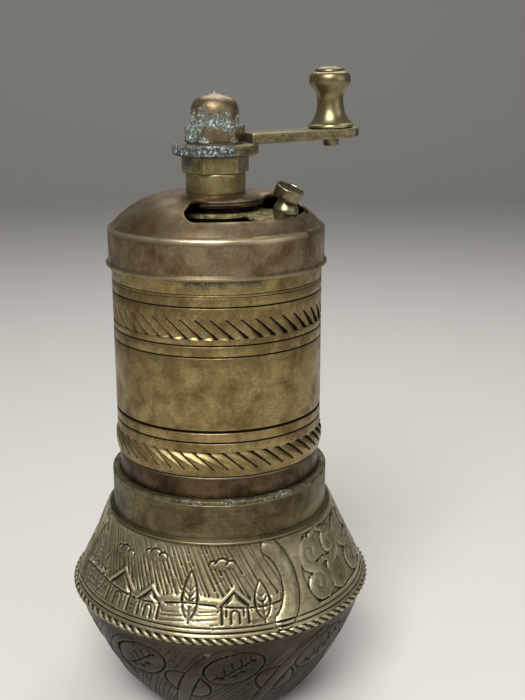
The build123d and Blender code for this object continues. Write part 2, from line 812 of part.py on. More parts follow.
with BuildPart() as inner_burr:
    for height, outline in burr_sections(
        outer_burr_foot,
        inner_foot_crest,
        outer_burr_top,
        inner_top_crest,
        burr_tooth_depth,
        inner_tooth_count,
        burr_twist,
    ):
        with BuildSketch(Plane.XY.offset(height)):
            with BuildLine():
                Polyline(*outline, close=True)
            make_face()
    nose_outline = tooth_points(
        burr_nose_radius,
        burr_nose_radius - burr_tooth_depth,
        inner_tooth_count,
        burr_twist + burr_nose_twist,
    )
    with BuildSketch(Plane.XY.offset(burr_nose_top)):
        with BuildLine():
            Polyline(*nose_outline, close=True)
        make_face()
    loft(ruled=True)
    with BuildSketch(Plane.XY.offset(outer_burr_foot)):
        Circle(burr_recess_radius)
    extrude(amount=burr_recess_depth, mode=Mode.SUBTRACT)
    with BuildSketch(Plane.XY.offset(recess_roof)):
        Circle(shaft_foot_radius + push_fit)
        Rectangle(
            2 * (shaft_foot_radius + push_fit), burr_seat_flats + 2 * push_fit, mode=Mode.INTERSECT
        )
    extrude(amount=burr_nose_top - recess_roof, mode=Mode.SUBTRACT)
save(inner_burr, "inner_burr")

with BuildPart() as burr_washer:
    with BuildSketch(Plane.XY.offset(burr_nut_top)):
        Circle(burr_washer_radius)
        Circle(shaft_foot_radius + push_fit, mode=Mode.SUBTRACT)
    extrude(amount=burr_washer_thickness)
save(burr_washer, "burr_washer")

with BuildPart() as burr_nut:
    with BuildSketch(Plane.XY.offset(burr_nut_top - burr_nut_height)):
        RegularPolygon(corner_radius(burr_nut_flats), 6)
        Circle(shaft_foot_radius + push_fit, mode=Mode.SUBTRACT)
    extrude(amount=burr_nut_height)
save(burr_nut, "burr_nut")

# ---- crank ----------------------------------------------------------------------

with BuildPart() as adjusting_nut:
    with BuildSketch(Plane.XY.offset(bush_top)):
        RegularPolygon(corner_radius(nut_flats), 6, rotation=hex_turn)
        Circle(shaft_bore, mode=Mode.SUBTRACT)
    extrude(amount=nut_height)
save(adjusting_nut, "adjusting_nut")

arm_climb = polar(cos(radians(arm_slope)), crank_azimuth, sin(radians(arm_slope)))
arm_normal = polar(-sin(radians(arm_slope)), crank_azimuth, cos(radians(arm_slope)))
arm_origin = Vector(*polar(arm_root_start, crank_azimuth, eye_top)) - arm_root_start * Vector(*arm_climb)
arm_plane = Plane(origin=arm_origin, x_dir=arm_climb, z_dir=arm_normal)
eye_square = shaft_square + 2 * running_fit
arm_clear = max(corner_radius(cap_flats), cap_washer_radius) + arm_washer_gap

with BuildPart() as crank_arm:
    with BuildSketch(Plane.XY.offset(nut_top)):
        Circle(eye_radius)
    extrude(amount=eye_thickness)
    fillet(crank_arm.edges(), eye_edge)
    with BuildSketch(arm_plane.offset(-arm_root_drop)):
        with BuildLine():
            Polyline(
                (arm_root_start, -arm_root_width / 2),
                (eye_radius, -arm_root_width / 2),
                (eye_radius, arm_root_width / 2),
                (arm_root_start, arm_root_width / 2),
                close=True,
            )
        make_face()
    extrude(amount=arm_root_drop)
    with BuildSketch(arm_plane):
        with BuildLine():
            Polyline(
                (arm_root_start, -arm_root_width / 2),
                (arm_length, -arm_tip_width / 2),
                (arm_length, arm_tip_width / 2),
                (arm_root_start, arm_root_width / 2),
                close=True,
            )
        make_face()
        with Locations((arm_length, 0)):
            Rectangle(2 * arm_overhang, arm_tip_width)
        fillet(vertices().group_by(Axis.X)[-1], arm_tip_corner)
        with Locations((arm_length, 0)):
            Circle(rivet_radius + push_fit, mode=Mode.SUBTRACT)
        Circle(arm_clear, mode=Mode.SUBTRACT)
    extrude(amount=arm_thickness)
    with BuildSketch(Plane.XY.offset(nut_top)):
        Rectangle(eye_square, eye_square, rotation=crank_azimuth)
    extrude(amount=eye_thickness, mode=Mode.SUBTRACT)
save(crank_arm, "crank_arm")

with BuildPart() as cap_washer:
    with BuildSketch(Plane.XY.offset(eye_top)):
        Circle(cap_washer_radius)
        Circle(shaft_bore, mode=Mode.SUBTRACT)
    extrude(amount=cap_washer_thickness)
save(cap_washer, "cap_washer")

cap_shoulder_z = cap_top - cap_tip_height
cap_skirt_top = cap_hex_top + cap_skirt_height
cap_root_z = cap_hex_top - tool_overrun

with BuildPart() as cap_nut:
    with BuildSketch(Plane.XY.offset(washer_top)):
        RegularPolygon(corner_radius(cap_flats), 6, rotation=hex_turn)
    extrude(amount=cap_hex_height)
    with BuildSketch(Plane.XZ):
        with BuildLine():
            Line((0, cap_root_z), (cap_dome_radius, cap_root_z))
            Line((cap_dome_radius, cap_root_z), (cap_dome_radius, cap_skirt_top))
            Bezier(
                (cap_dome_radius, cap_skirt_top),
                (cap_dome_radius, cap_skirt_top + cap_side_pull),
                (cap_top_pull, cap_shoulder_z),
                (cap_tip_radius, cap_shoulder_z),
            )
            Line((cap_tip_radius, cap_shoulder_z), (cap_tip_flat, cap_top))
            Line((cap_tip_flat, cap_top), (0, cap_top))
            Line((0, cap_top), (0, cap_root_z))
        make_face()
    revolve(axis=Axis.Z)
    with BuildSketch(Plane.XY.offset(washer_top)):
        Circle(shaft_bore)
    extrude(amount=shaft_top + cap_shaft_gap - washer_top, mode=Mode.SUBTRACT)
save(cap_nut, "cap_nut")

# The rivet and the handle share the axis that stands square to the arm.
seat_point = arm_origin + arm_length * Vector(*arm_climb) + arm_thickness * Vector(*arm_normal)
axis_plane = Plane(origin=seat_point, x_dir=arm_climb, z_dir=arm_normal)
handle_plane = axis_plane.offset(handle_play)
handle_side = Plane(
    origin=handle_plane.origin, x_dir=handle_plane.x_dir, z_dir=-handle_plane.y_dir
)
rivet_cap_low = handle_play + handle_height + handle_play

with BuildPart() as handle_rivet:
    with BuildSketch(axis_plane.offset(-arm_thickness)):
        Circle(rivet_foot_radius)
    extrude(amount=-rivet_foot_height)
    with BuildSketch(axis_plane.offset(-arm_thickness)):
        Circle(rivet_radius)
    extrude(amount=arm_thickness + rivet_cap_low)
    with BuildSketch(axis_plane.offset(rivet_cap_low)):
        Circle(rivet_cap_radius)
    extrude(amount=rivet_cap_height)
    fillet(handle_rivet.edges().group_by(Axis.Z)[-1], rivet_cap_round)
save(handle_rivet, "handle_rivet")

base_flat_radius = handle_base_radius - handle_base_round

with BuildPart() as handle_knob:
    with BuildSketch(handle_side):
        with BuildLine():
            Line((0, 0), (base_flat_radius, 0))
            ThreePointArc(
                (base_flat_radius, 0),
                (handle_base_radius, handle_base_height / 2),
                (base_flat_radius, handle_base_height),
            )
            Bezier(
                (base_flat_radius, handle_base_height),
                (handle_neck_radius + 0.5, handle_base_height + 1.5),
                (handle_neck_radius, handle_neck_height - 2.4),
                (handle_neck_radius, handle_neck_height),
            )
            Bezier(
                (handle_neck_radius, handle_neck_height),
                (handle_neck_radius, handle_neck_height + 2.0),
                (handle_head_radius, handle_head_height - 1.7),
                (handle_head_radius, handle_head_height),
            )
            Bezier(
                (handle_head_radius, handle_head_height),
                (handle_head_radius, handle_head_height + 1.4),
                (handle_head_radius - 1.2, handle_height),
                (handle_top_radius, handle_height),
            )
            Line((handle_top_radius, handle_height), (0, handle_height))
            Line((0, handle_height), (0, 0))
        make_face()
    revolve(axis=Axis(handle_plane.origin, handle_plane.z_dir))
    with BuildSketch(handle_plane):
        Circle(rivet_radius + running_fit)
    extrude(amount=handle_height, mode=Mode.SUBTRACT)
save(handle_knob, "handle_knob")

handle_top = seat_point.Z + rivet_cap_low + rivet_cap_height
print("nut top", round(cap_top, 2), "handle top", round(handle_top, 2))
print("handle axis through", seat_point, "along", arm_normal)
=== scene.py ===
"""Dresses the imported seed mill: engraved brass receptacle, grooved barrel, lid, shutter, crank and handle.

Every size is in millimetres and turned to metres where a mesh is made. Heights and reaches come from
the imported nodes, and what the nodes don't tell is a field of the class that makes the piece.
"""

import json
import logging
import math
from collections.abc import Callable, Sequence
from dataclasses import dataclass, field
from enum import Enum

import bmesh
import bpy
import numpy as np
from mathutils import Matrix, Vector, noise


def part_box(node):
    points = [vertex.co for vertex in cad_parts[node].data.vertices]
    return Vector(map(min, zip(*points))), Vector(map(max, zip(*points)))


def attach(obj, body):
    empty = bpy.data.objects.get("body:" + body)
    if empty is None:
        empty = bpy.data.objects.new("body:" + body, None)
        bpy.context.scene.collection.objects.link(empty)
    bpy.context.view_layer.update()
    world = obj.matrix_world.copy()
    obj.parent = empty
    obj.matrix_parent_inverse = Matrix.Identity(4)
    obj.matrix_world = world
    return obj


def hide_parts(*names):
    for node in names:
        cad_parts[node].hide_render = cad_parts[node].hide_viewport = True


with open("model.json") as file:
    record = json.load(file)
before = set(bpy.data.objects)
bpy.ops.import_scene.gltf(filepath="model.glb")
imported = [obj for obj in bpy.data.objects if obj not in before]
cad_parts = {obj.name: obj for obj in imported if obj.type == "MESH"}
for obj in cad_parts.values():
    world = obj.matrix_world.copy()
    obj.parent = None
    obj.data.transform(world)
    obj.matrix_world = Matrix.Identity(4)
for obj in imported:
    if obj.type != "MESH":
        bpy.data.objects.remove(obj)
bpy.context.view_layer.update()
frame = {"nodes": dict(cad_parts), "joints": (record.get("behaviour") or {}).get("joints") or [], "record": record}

MM = 0.001
MERGE = 1e-6  # doubles closer than a thousandth of a millimetre are one vertex

Point = tuple[float, float]
log = logging.getLogger("mill")


# ---- reading the frame


@dataclass(frozen=True)
class Extent:
    """Where a round CAD node is, in millimetres.

    Attributes:
        foot: height of its lowest point.
        top: height of its highest point.
        reach: its greatest radius from the shaft's axis.
    """

    foot: float
    top: float
    reach: float


def extent(node: str) -> Extent:
    """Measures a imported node.

    Args:
        node: the node's name.

    Returns:
        Its heights and its reach.
    """
    low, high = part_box(node)
    return Extent(low.z / MM, high.z / MM, max(high.x, high.y) / MM)


def body_of_node(node: str) -> str:
    """Names the body that a node belongs to."""
    for body, members in frame["record"]["behaviour"]["bodies"].items():
        if node in members:
            return body
    raise KeyError(node)


# ---- shaping


def bezier(start: Point, pull: Point, draw: Point, end: Point, count: int) -> list[Point]:
    """Points along a cubic curve, both ends included.

    Args:
        start: first point.
        pull: handle of the first point.
        draw: handle of the last point.
        end: last point.
        count: number of stretches.

    Returns:
        The points in order.
    """
    points = []
    for i in range(count + 1):
        t = i / count
        weights = ((1 - t) ** 3, 3 * t * (1 - t) ** 2, 3 * t * t * (1 - t), t**3)
        corners = (start, pull, draw, end)
        points.append(tuple(sum(w * c[k] for w, c in zip(weights, corners)) for k in (0, 1)))
    return points


def arc(centre: Point, radii: Point, start: float, end: float, count: int) -> list[Point]:
    """Points along part of an ellipse.

    Args:
        centre: its middle.
        radii: its half widths.
        start: first angle in degrees.
        end: last angle in degrees.
        count: number of stretches.

    Returns:
        The points in order.
    """
    angles = [math.radians(start + (end - start) * i / count) for i in range(count + 1)]
    return [(centre[0] + radii[0] * math.cos(a), centre[1] + radii[1] * math.sin(a)) for a in angles]


def tidy(bm: bmesh.types.BMesh) -> None:
    """Merges doubles, then turns every face outwards."""
    bmesh.ops.remove_doubles(bm, verts=bm.verts, dist=MERGE)
    bmesh.ops.recalc_face_normals(bm, faces=bm.faces)


def supported(profile: Sequence[Point], closed: bool = True, reach: float = 0.6) -> list[Point]:
    """Adds points near the ends of a profile's long stretches, so that edge wear stays at the edges.

    Args:
        profile: points of radius and height.
        closed: whether the last point joins the first.
        reach: how far from each end the new points are.

    Returns:
        The profile with the new points.
    """
    ends = list(profile[1:]) + ([profile[0]] if closed else [])
    points = []
    for (r0, z0), (r1, z1) in zip(profile, ends):
        points.append((r0, z0))
        length = math.hypot(r1 - r0, z1 - z0)
        if length > 3 * reach:
            points += [(r0 + (r1 - r0) * t, z0 + (z1 - z0) * t) for t in (reach / length, 1 - reach / length)]
    return points + ([] if closed else [profile[-1]])


def turned(profile: Sequence[Point], steps: int, closed: bool = True, sweep: float = 360.0,
        start: float = 0.0) -> bmesh.types.BMesh:
    """Turns a profile of radius and height round Z, as on a lathe.

    Args:
        profile: points of radius and height.
        steps: stretches round.
        closed: whether the last point joins the first.
        sweep: degrees turned.
        start: azimuth of the profile's plane.

    Returns:
        The turned mesh.
    """
    bm = bmesh.new()
    verts = [bm.verts.new((r * MM, 0.0, z * MM)) for r, z in profile]
    edges = [bm.edges.new(pair) for pair in zip(verts, verts[1:])]
    if closed:
        edges.append(bm.edges.new((verts[-1], verts[0])))
    whole = abs(sweep - 360.0) < 1e-6
    sectors = math.gcd(steps, 16) if whole else 1
    if not whole:
        end_face = bm.faces.new(verts)
        turned_end = bmesh.ops.duplicate(bm, geom=[end_face])["geom"]
        bmesh.ops.rotate(bm, verts=[v for v in turned_end if isinstance(v, bmesh.types.BMVert)],
                matrix=Matrix.Rotation(math.radians(sweep), 3, "Z"))
    bmesh.ops.spin(bm, geom=verts + edges, cent=(0, 0, 0), axis=(0, 0, 1), dvec=(0, 0, 0),
            angle=math.radians(sweep / sectors), space=Matrix.Identity(4), steps=steps // sectors,
            use_merge=whole and sectors == 1, use_normal_flip=False, use_duplicate=False)
    # Spin slows down with every step it has made, so one sector is spun and the copies double up.
    angle = sweep / sectors
    while whole and angle < 359.0:
        copy = bmesh.ops.duplicate(bm, geom=bm.verts[:] + bm.edges[:] + bm.faces[:])["geom"]
        bmesh.ops.rotate(bm, verts=[v for v in copy if isinstance(v, bmesh.types.BMVert)],
                matrix=Matrix.Rotation(math.radians(angle), 3, "Z"))
        angle *= 2
    bmesh.ops.rotate(bm, verts=bm.verts, matrix=Matrix.Rotation(math.radians(start), 3, "Z"))
    tidy(bm)
    return bm


def hexagon_ring(bm: bmesh.types.BMesh, flats: float, turn: float, height: float,
        cuts: int) -> list[bmesh.types.BMEdge]:
    """Adds a hexagon's outline, each side divided.

    Args:
        bm: the mesh that gets it.
        flats: width across flats.
        turn: azimuth of one corner.
        height: its height.
        cuts: stretches on each side.

    Returns:
        Its edges.
    """
    radius = flats / 2 / math.cos(math.radians(30))
    before = set(bm.edges)
    place = Matrix.Translation((0, 0, height * MM)) @ Matrix.Rotation(math.radians(turn + 90), 4, "Z")
    bmesh.ops.create_circle(bm, segments=6, radius=radius * MM, matrix=place)
    sides = [e for e in bm.edges if e not in before]
    bmesh.ops.subdivide_edges(bm, edges=sides, cuts=cuts - 1, use_grid_fill=False)
    return [e for e in bm.edges if e not in before]


def hexagon_nut(flats: float, turn: float, bore: float, foot: float, top: float) -> bmesh.types.BMesh:
    """Makes a plain hexagon nut.

    Args:
        flats: width across flats.
        turn: azimuth of one corner.
        bore: radius of its bore.
        foot: height of its lower face.
        top: height of its upper face.

    Returns:
        The nut with sharp edges.
    """
    bm = bmesh.new()
    per_side = 8
    outside = hexagon_ring(bm, flats, turn, foot, per_side)
    before = set(bm.edges)
    bmesh.ops.create_circle(bm, segments=6 * per_side, radius=bore * MM,
            matrix=Matrix.Translation((0, 0, foot * MM)))
    inside = [e for e in bm.edges if e not in before]
    ring = bmesh.ops.bridge_loops(bm, edges=outside + inside)["faces"]
    raised = bmesh.ops.extrude_face_region(bm, geom=ring, use_keep_orig=True)["geom"]
    bmesh.ops.translate(bm, vec=(0, 0, (top - foot) * MM),
            verts=[v for v in raised if isinstance(v, bmesh.types.BMVert)])
    tidy(bm)
    return bm


def soften(bm: bmesh.types.BMesh, radius: float, segments: int = 2, sharper: float = 35.0,
        where: Callable[[Vector], bool] | None = None) -> None:
    """Rounds the hard edges, as handling does.

    Args:
        bm: the mesh.
        radius: how far in each round starts.
        segments: rows of each round.
        sharper: only edges with a greater angle, in degrees, are rounded.
        where: if given, only edges whose middle, in millimetres, it accepts.
    """
    edges = []
    for edge in bm.edges:
        middle = (edge.verts[0].co + edge.verts[1].co) / 2 / MM
        hard = len(edge.link_faces) == 2 and edge.calc_face_angle(0.0) > math.radians(sharper)
        if hard and (where is None or where(middle)):
            edges.append(edge)
    bmesh.ops.bevel(bm, geom=edges, offset=radius * MM, offset_type="OFFSET", segments=segments,
            profile=0.5, affect="EDGES", clamp_overlap=True, material=-1)


def joined(base: bmesh.types.BMesh, tool: bmesh.types.BMesh) -> bmesh.types.BMesh:
    """Makes one solid of two.

    Args:
        base: one solid.
        tool: the other; both are used up.

    Returns:
        The new solid.
    """
    holders = []
    for bm in (base, tool):
        mesh = bpy.data.meshes.new("shape")
        bm.to_mesh(mesh)
        bm.free()
        holder = bpy.data.objects.new("shape", mesh)
        bpy.context.scene.collection.objects.link(holder)
        holders.append(holder)
    modifier = holders[0].modifiers.new("join", "BOOLEAN")
    modifier.operation = "UNION"
    modifier.solver = "EXACT"
    modifier.object = holders[1]
    depsgraph = bpy.context.evaluated_depsgraph_get()
    result = bpy.data.meshes.new_from_object(holders[0].evaluated_get(depsgraph))
    bm = bmesh.new()
    bm.from_mesh(result)
    for holder in holders:
        data = holder.data
        bpy.data.objects.remove(holder)
        bpy.data.meshes.remove(data)
    bpy.data.meshes.remove(result)
    bmesh.ops.dissolve_degenerate(bm, dist=MERGE, edges=bm.edges)
    tidy(bm)
    bmesh.ops.delete(bm, geom=[v for v in bm.verts if not v.link_faces], context="VERTS")
    return bm


def roughen(bm: bmesh.types.BMesh, amount: float, size: float, seed: float = 0.0) -> None:
    """Pushes a surface gently in and out, as casting, beating and knocks leave it.

    Args:
        bm: the mesh.
        amount: greatest push.
        size: width of one hollow.
        seed: shifts the pattern.
    """
    bm.normal_update()
    for vert in bm.verts:
        place = vert.co / (size * MM) + Vector((seed, 1.7 * seed, 0.6 * seed))
        push = noise.noise(place) + 0.4 * noise.noise(2.7 * place)
        vert.co += vert.normal * push * amount * MM


def merged(base: bmesh.types.BMesh, *others: bmesh.types.BMesh) -> bmesh.types.BMesh:
    """Puts closed shells together in one mesh; the others are used up."""
    for other in others:
        mesh = bpy.data.meshes.new("shell")
        other.to_mesh(mesh)
        other.free()
        base.from_mesh(mesh)
        bpy.data.meshes.remove(mesh)
    return base


def edge_hollows(bm: bmesh.types.BMesh) -> np.ndarray:
    """How hollow the shape is at each vertex, by its sharpest edge.

    Args:
        bm: the mesh.

    Returns:
        Values up to 1 in corners, and down to -1 on sharp edges that stand proud.
    """
    bm.verts.index_update()
    values = np.zeros(len(bm.verts))
    sharp = 0.3  # a round of this radius in millimetres counts in full
    for edge in bm.edges:
        length = edge.calc_length()
        if len(edge.link_faces) != 2 or length < MERGE:
            continue
        width = sum(f.calc_area() for f in edge.link_faces) / 2 / length / MM
        bend = -edge.calc_face_angle_signed(0.0) * sharp / max(width, 0.02)
        for vert in edge.verts:
            if abs(bend) > abs(values[vert.index]):
                values[vert.index] = bend
    return np.clip(values, -1.0, 1.0)


def finished(bm: bmesh.types.BMesh, node: str, finish: "MetalFinish", hollow: np.ndarray | None = None,
        crease: float = 50.0) -> bpy.types.Object:
    """Makes the object of a piece, dresses it and lets it stand for its node.

    Args:
        bm: the mesh, used up.
        node: the CAD node that it replaces.
        finish: its finish.
        hollow: how hollow each vertex lies, which darkens or brightens it, and on some pieces painted shade and
            painted highlight; worked out from the edges if not given.
        crease: edges with a greater angle, in degrees, stay sharp.

    Returns:
        The object.
    """
    bm.normal_update()
    open_edges = sum(1 for e in bm.edges if not e.is_manifold)
    if hollow is None:
        hollow = edge_hollows(bm)
    mesh = bpy.data.meshes.new(f"{node}_brass")
    bm.to_mesh(mesh)
    bm.free()
    mesh.attributes.new("hollow", "FLOAT", "POINT").data.foreach_set("value", hollow.astype(np.float32))
    mesh.shade_smooth()
    mesh.set_sharp_from_angle(angle=math.radians(crease))
    piece = bpy.data.objects.new(f"{node}_brass", mesh)
    bpy.context.scene.collection.objects.link(piece)
    mesh.materials.append(finish.material())
    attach(piece, body_of_node(node))
    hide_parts(node)
    mesh.calc_loop_triangles()
    log.info("%s: %d triangles, %d open edges", piece.name, len(mesh.loop_triangles), open_edges)
    return piece


# ---- finishes


def linear(code: str) -> tuple[float, float, float, float]:
    """Turns an sRGB hex colour to linear values."""
    parts = [int(code[i:i + 2], 16) / 255 for i in (1, 3, 5)]
    return tuple(p / 12.92 if p <= 0.04045 else ((p + 0.055) / 1.055) ** 2.4 for p in parts) + (1.0,)


def add(tree: bpy.types.NodeTree, kind: str, inputs: dict | None = None, **settings) -> bpy.types.Node:
    """Adds a node with its settings and links.

    Args:
        tree: the node tree.
        kind: the node's type.
        inputs: socket names or numbers, each with a value or the socket that feeds it.
        **settings: the node's own settings.

    Returns:
        The node.
    """
    node = tree.nodes.new(kind)
    for name, value in settings.items():
        setattr(node, name, value)
    for key, value in (inputs or {}).items():
        if isinstance(value, bpy.types.NodeSocket):
            tree.links.new(value, node.inputs[key])
        else:
            node.inputs[key].default_value = value
    return node


@dataclass(frozen=True)
class Crust:
    """A patch of verdigris and lime on the metal.

    Attributes:
        centre: its middle in millimetres.
        radius: how far it spreads.
        cover: how much of the metal it hides in its middle, 0 to 1.
    """

    centre: tuple[float, float, float]
    radius: float
    cover: float = 0.8


def crust_ring(radius: float, height: float, span: Point, count: int, size: float,
        cover: float) -> tuple[Crust, ...]:
    """Lays small patches side by side round a turned piece.

    Args:
        radius: of the piece there.
        height: of the patches.
        span: azimuths of the first and last patch.
        count: number of patches.
        size: how far each spreads.
        cover: how much each hides.

    Returns:
        The patches, unequal as they grow.
    """
    patches = []
    for i in range(count):
        azimuth = math.radians(span[0] + (span[1] - span[0]) * i / (count - 1))
        uneven = 1 + 0.25 * math.sin(2.4 * i)
        place = (radius * math.cos(azimuth), radius * math.sin(azimuth), height + 0.5 * math.sin(1.7 * i))
        patches.append(Crust(place, size * uneven, cover * (1 - 0.12 * math.cos(1.9 * i))))
    return tuple(patches)


@dataclass(frozen=True)
class MetalFinish:
    """A bare metal that has aged: tarnish in blotches, grime in the hollows, rubbed edges, crust; the same hollow
    masks also paint shade and highlight where a piece's values ask for them.

    Attributes:
        name: the material's name.
        clean: hex colour where the metal is least tarnished.
        tarnish: hex colour of the tarnish.
        stain: hex colour of odd stains in the tarnish.
        flush: hex colour of a second stain, where copper comes through or green starts.
        grime_and_shade: hex colour of what fills the hollows, and of painted shade where a piece paints it.
        rubbed_and_highlight: hex colour of edges and ridges that hands keep bright, and of painted highlight where
            a piece paints it.
        roughness: of the clean metal and of the tarnish.
        blotch: width of the blotches in millimetres.
        stained: how strongly the stains show.
        flushed: how strongly the second stain shows.
        fleck: width of the fine mottling in millimetres.
        flecked: how strongly the mottling shows.
        turning: how strongly the lines of the lathe show.
        line: spacing of those lines in millimetres.
        pitting: depth of the surface's small unevenness in millimetres.
        metallic: of the tarnished metal.
        grime_and_shade_from: how hollow the shape is where the grime and the painted shade start.
        crusts: patches of verdigris.
        scale: hex colour of the crust's dark parts.
        green: hex colour of its green parts.
        white: hex colour of its white specks.
    """

    name: str
    clean: str
    tarnish: str
    stain: str
    flush: str = "#5A4A30"
    grime_and_shade: str = "#17110B"
    rubbed_and_highlight: str = "#B9A36C"
    roughness: Point = (0.34, 0.5)
    blotch: float = 9.0
    stained: float = 0.5
    flushed: float = 0.0
    fleck: float = 0.7
    flecked: float = 0.25
    turning: float = 0.0
    line: float = 0.35
    pitting: float = 0.03
    metallic: float = 0.95
    grime_and_shade_from: float = 0.25
    crusts: tuple[Crust, ...] = ()
    scale: str = "#3C4340"
    green: str = "#5F7F76"
    white: str = "#B4BAB2"

    def material(self) -> bpy.types.Material:
        """Returns the finish's material, made on first use."""
        made = bpy.data.materials.get(self.name)
        if made is None:
            made = bpy.data.materials.new(self.name)
            made.use_nodes = True
            self.build(made.node_tree)
        return made

    def build(self, tree: bpy.types.NodeTree) -> None:
        """Lays out the nodes of the finish.

        Args:
            tree: the material's empty tree.
        """
        tree.nodes.clear()
        place = add(tree, "ShaderNodeTexCoord").outputs["Object"]
        at = add(tree, "ShaderNodeVectorMath", {0: place, 1: (1 / MM,) * 3}, operation="MULTIPLY").outputs[0]

        # Tarnish creeps over brass in soft blotches with a finer mottle inside them.
        blotches = add(tree, "ShaderNodeTexNoise",
                {"Vector": at, "Scale": 1 / self.blotch, "Detail": 5.0, "Roughness": 0.62,
                "Distortion": 0.4}).outputs[0]
        tarnished = add(tree, "ShaderNodeMapRange", {0: blotches, 1: 0.4, 2: 0.62}).outputs[0]
        colour = add(tree, "ShaderNodeMix", {0: tarnished, 6: linear(self.clean), 7: linear(self.tarnish)},
                data_type="RGBA").outputs[2]
        stains = add(tree, "ShaderNodeTexNoise",
                {"Vector": at, "W": 4.0, "Scale": 1 / (0.6 * self.blotch), "Detail": 6.0,
                "Roughness": 0.7}, noise_dimensions="4D").outputs[0]
        stained = add(tree, "ShaderNodeMapRange", {0: stains, 1: 0.52, 2: 0.7, 4: self.stained}).outputs[0]
        colour = add(tree, "ShaderNodeMix", {0: stained, 6: colour, 7: linear(self.stain)},
                data_type="RGBA").outputs[2]
        if self.flushed:
            flushes = add(tree, "ShaderNodeTexNoise",
                    {"Vector": at, "W": 13.0, "Scale": 1 / (0.5 * self.blotch), "Detail": 6.0,
                    "Roughness": 0.72}, noise_dimensions="4D").outputs[0]
            flushed = add(tree, "ShaderNodeMapRange",
                    {0: flushes, 1: 0.53, 2: 0.66, 4: self.flushed}).outputs[0]
            colour = add(tree, "ShaderNodeMix", {0: flushed, 6: colour, 7: linear(self.flush)},
                    data_type="RGBA").outputs[2]
        flecks = add(tree, "ShaderNodeTexNoise",
                {"Vector": at, "W": 9.0, "Scale": 1 / self.fleck, "Detail": 3.0, "Roughness": 0.6},
                noise_dimensions="4D").outputs[0]
        flecked = add(tree, "ShaderNodeMapRange",
                {0: flecks, 1: 0.3, 2: 0.7, 3: 1 - self.flecked, 4: 1 + self.flecked}).outputs[0]
        colour = add(tree, "ShaderNodeVectorMath", {0: colour, "Scale": flecked},
                operation="SCALE").outputs[0]
        height = flecks

        if self.turning:
            # Lathe lines run round the axis, so their noise is long in X and Y and short in Z.
            lines_at = add(tree, "ShaderNodeMapping",
                    {"Vector": at, "Scale": (0.03, 0.03, 1 / self.line)}).outputs[0]
            lines = add(tree, "ShaderNodeTexNoise", {"Vector": lines_at, "Scale": 1.0, "Detail": 4.0,
                    "Roughness": 0.75}).outputs[0]
            shade = add(tree, "ShaderNodeMapRange", {0: lines, 1: 0.3, 2: 0.7, 3: 1 - 0.35 * self.turning,
                    4: 1 + 0.35 * self.turning}).outputs[0]
            colour = add(tree, "ShaderNodeVectorMath", {0: colour, "Scale": shade},
                    operation="SCALE").outputs[0]
            height = add(tree, "ShaderNodeMix",
                    {0: 0.35 + 0.3 * self.turning, 2: flecks, 3: lines}).outputs[0]

        # Grime settles in hollows and hands keep the ridges bright; on some pieces the same masks paint shade and
        # highlight. Noise breaks up both edges.
        hollow = add(tree, "ShaderNodeAttribute", attribute_name="hollow").outputs["Fac"]
        uneven = add(tree, "ShaderNodeMath", {0: flecks, 1: 0.5, 2: hollow},
                operation="MULTIPLY_ADD").outputs[0]
        grime_and_shade_mask = add(tree, "ShaderNodeMapRange",
                {0: uneven, 1: 0.25 + self.grime_and_shade_from, 2: 0.75 + self.grime_and_shade_from}).outputs[0]
        rubbed_and_highlight = add(tree, "ShaderNodeMapRange", {0: uneven, 1: 0.05, 2: -0.45, 4: 0.85}).outputs[0]
        colour = add(tree, "ShaderNodeMix", {0: rubbed_and_highlight, 6: colour, 7: linear(self.rubbed_and_highlight)},
                data_type="RGBA").outputs[2]
        colour = add(tree, "ShaderNodeMix", {0: grime_and_shade_mask, 6: colour, 7: linear(self.grime_and_shade)},
                data_type="RGBA").outputs[2]
        rough = add(tree, "ShaderNodeMapRange",
                {0: tarnished, 3: self.roughness[0], 4: self.roughness[1]}).outputs[0]
        rough = add(tree, "ShaderNodeMix", {0: grime_and_shade_mask, 2: rough, 3: 0.8}).outputs[0]
        metal = add(tree, "ShaderNodeMapRange", {0: grime_and_shade_mask, 3: self.metallic, 4: 0.85}).outputs[0]

        if self.crusts:
            crusted = self.crust_mask(tree, at)
            grains = add(tree, "ShaderNodeTexNoise", {"Vector": at, "W": 2.0, "Scale": 1.6, "Detail": 4.0,
                    "Roughness": 0.7}, noise_dimensions="4D").outputs[0]
            greener = add(tree, "ShaderNodeMapRange", {0: grains, 1: 0.4, 2: 0.52}).outputs[0]
            whiter = add(tree, "ShaderNodeMapRange", {0: grains, 1: 0.53, 2: 0.62}).outputs[0]
            crust = add(tree, "ShaderNodeMix", {0: greener, 6: linear(self.scale), 7: linear(self.green)},
                    data_type="RGBA").outputs[2]
            crust = add(tree, "ShaderNodeMix", {0: whiter, 6: crust, 7: linear(self.white)},
                    data_type="RGBA").outputs[2]
            colour = add(tree, "ShaderNodeMix", {0: crusted, 6: colour, 7: crust},
                    data_type="RGBA").outputs[2]
            rough = add(tree, "ShaderNodeMix", {0: crusted, 2: rough, 3: 0.9}).outputs[0]
            metal = add(tree, "ShaderNodeMix", {0: crusted, 2: metal, 3: 0.0}).outputs[0]
            height = add(tree, "ShaderNodeMath", {0: crusted, 1: 2.0, 2: height},
                    operation="MULTIPLY_ADD").outputs[0]

        normal = add(tree, "ShaderNodeBump", {"Height": height, "Distance": self.pitting * MM,
                "Strength": 1.0}).outputs[0]
        shader = add(tree, "ShaderNodeBsdfPrincipled", {"Base Color": colour, "Metallic": metal,
                "Roughness": rough, "Normal": normal})
        add(tree, "ShaderNodeOutputMaterial", {"Surface": shader.outputs[0]})

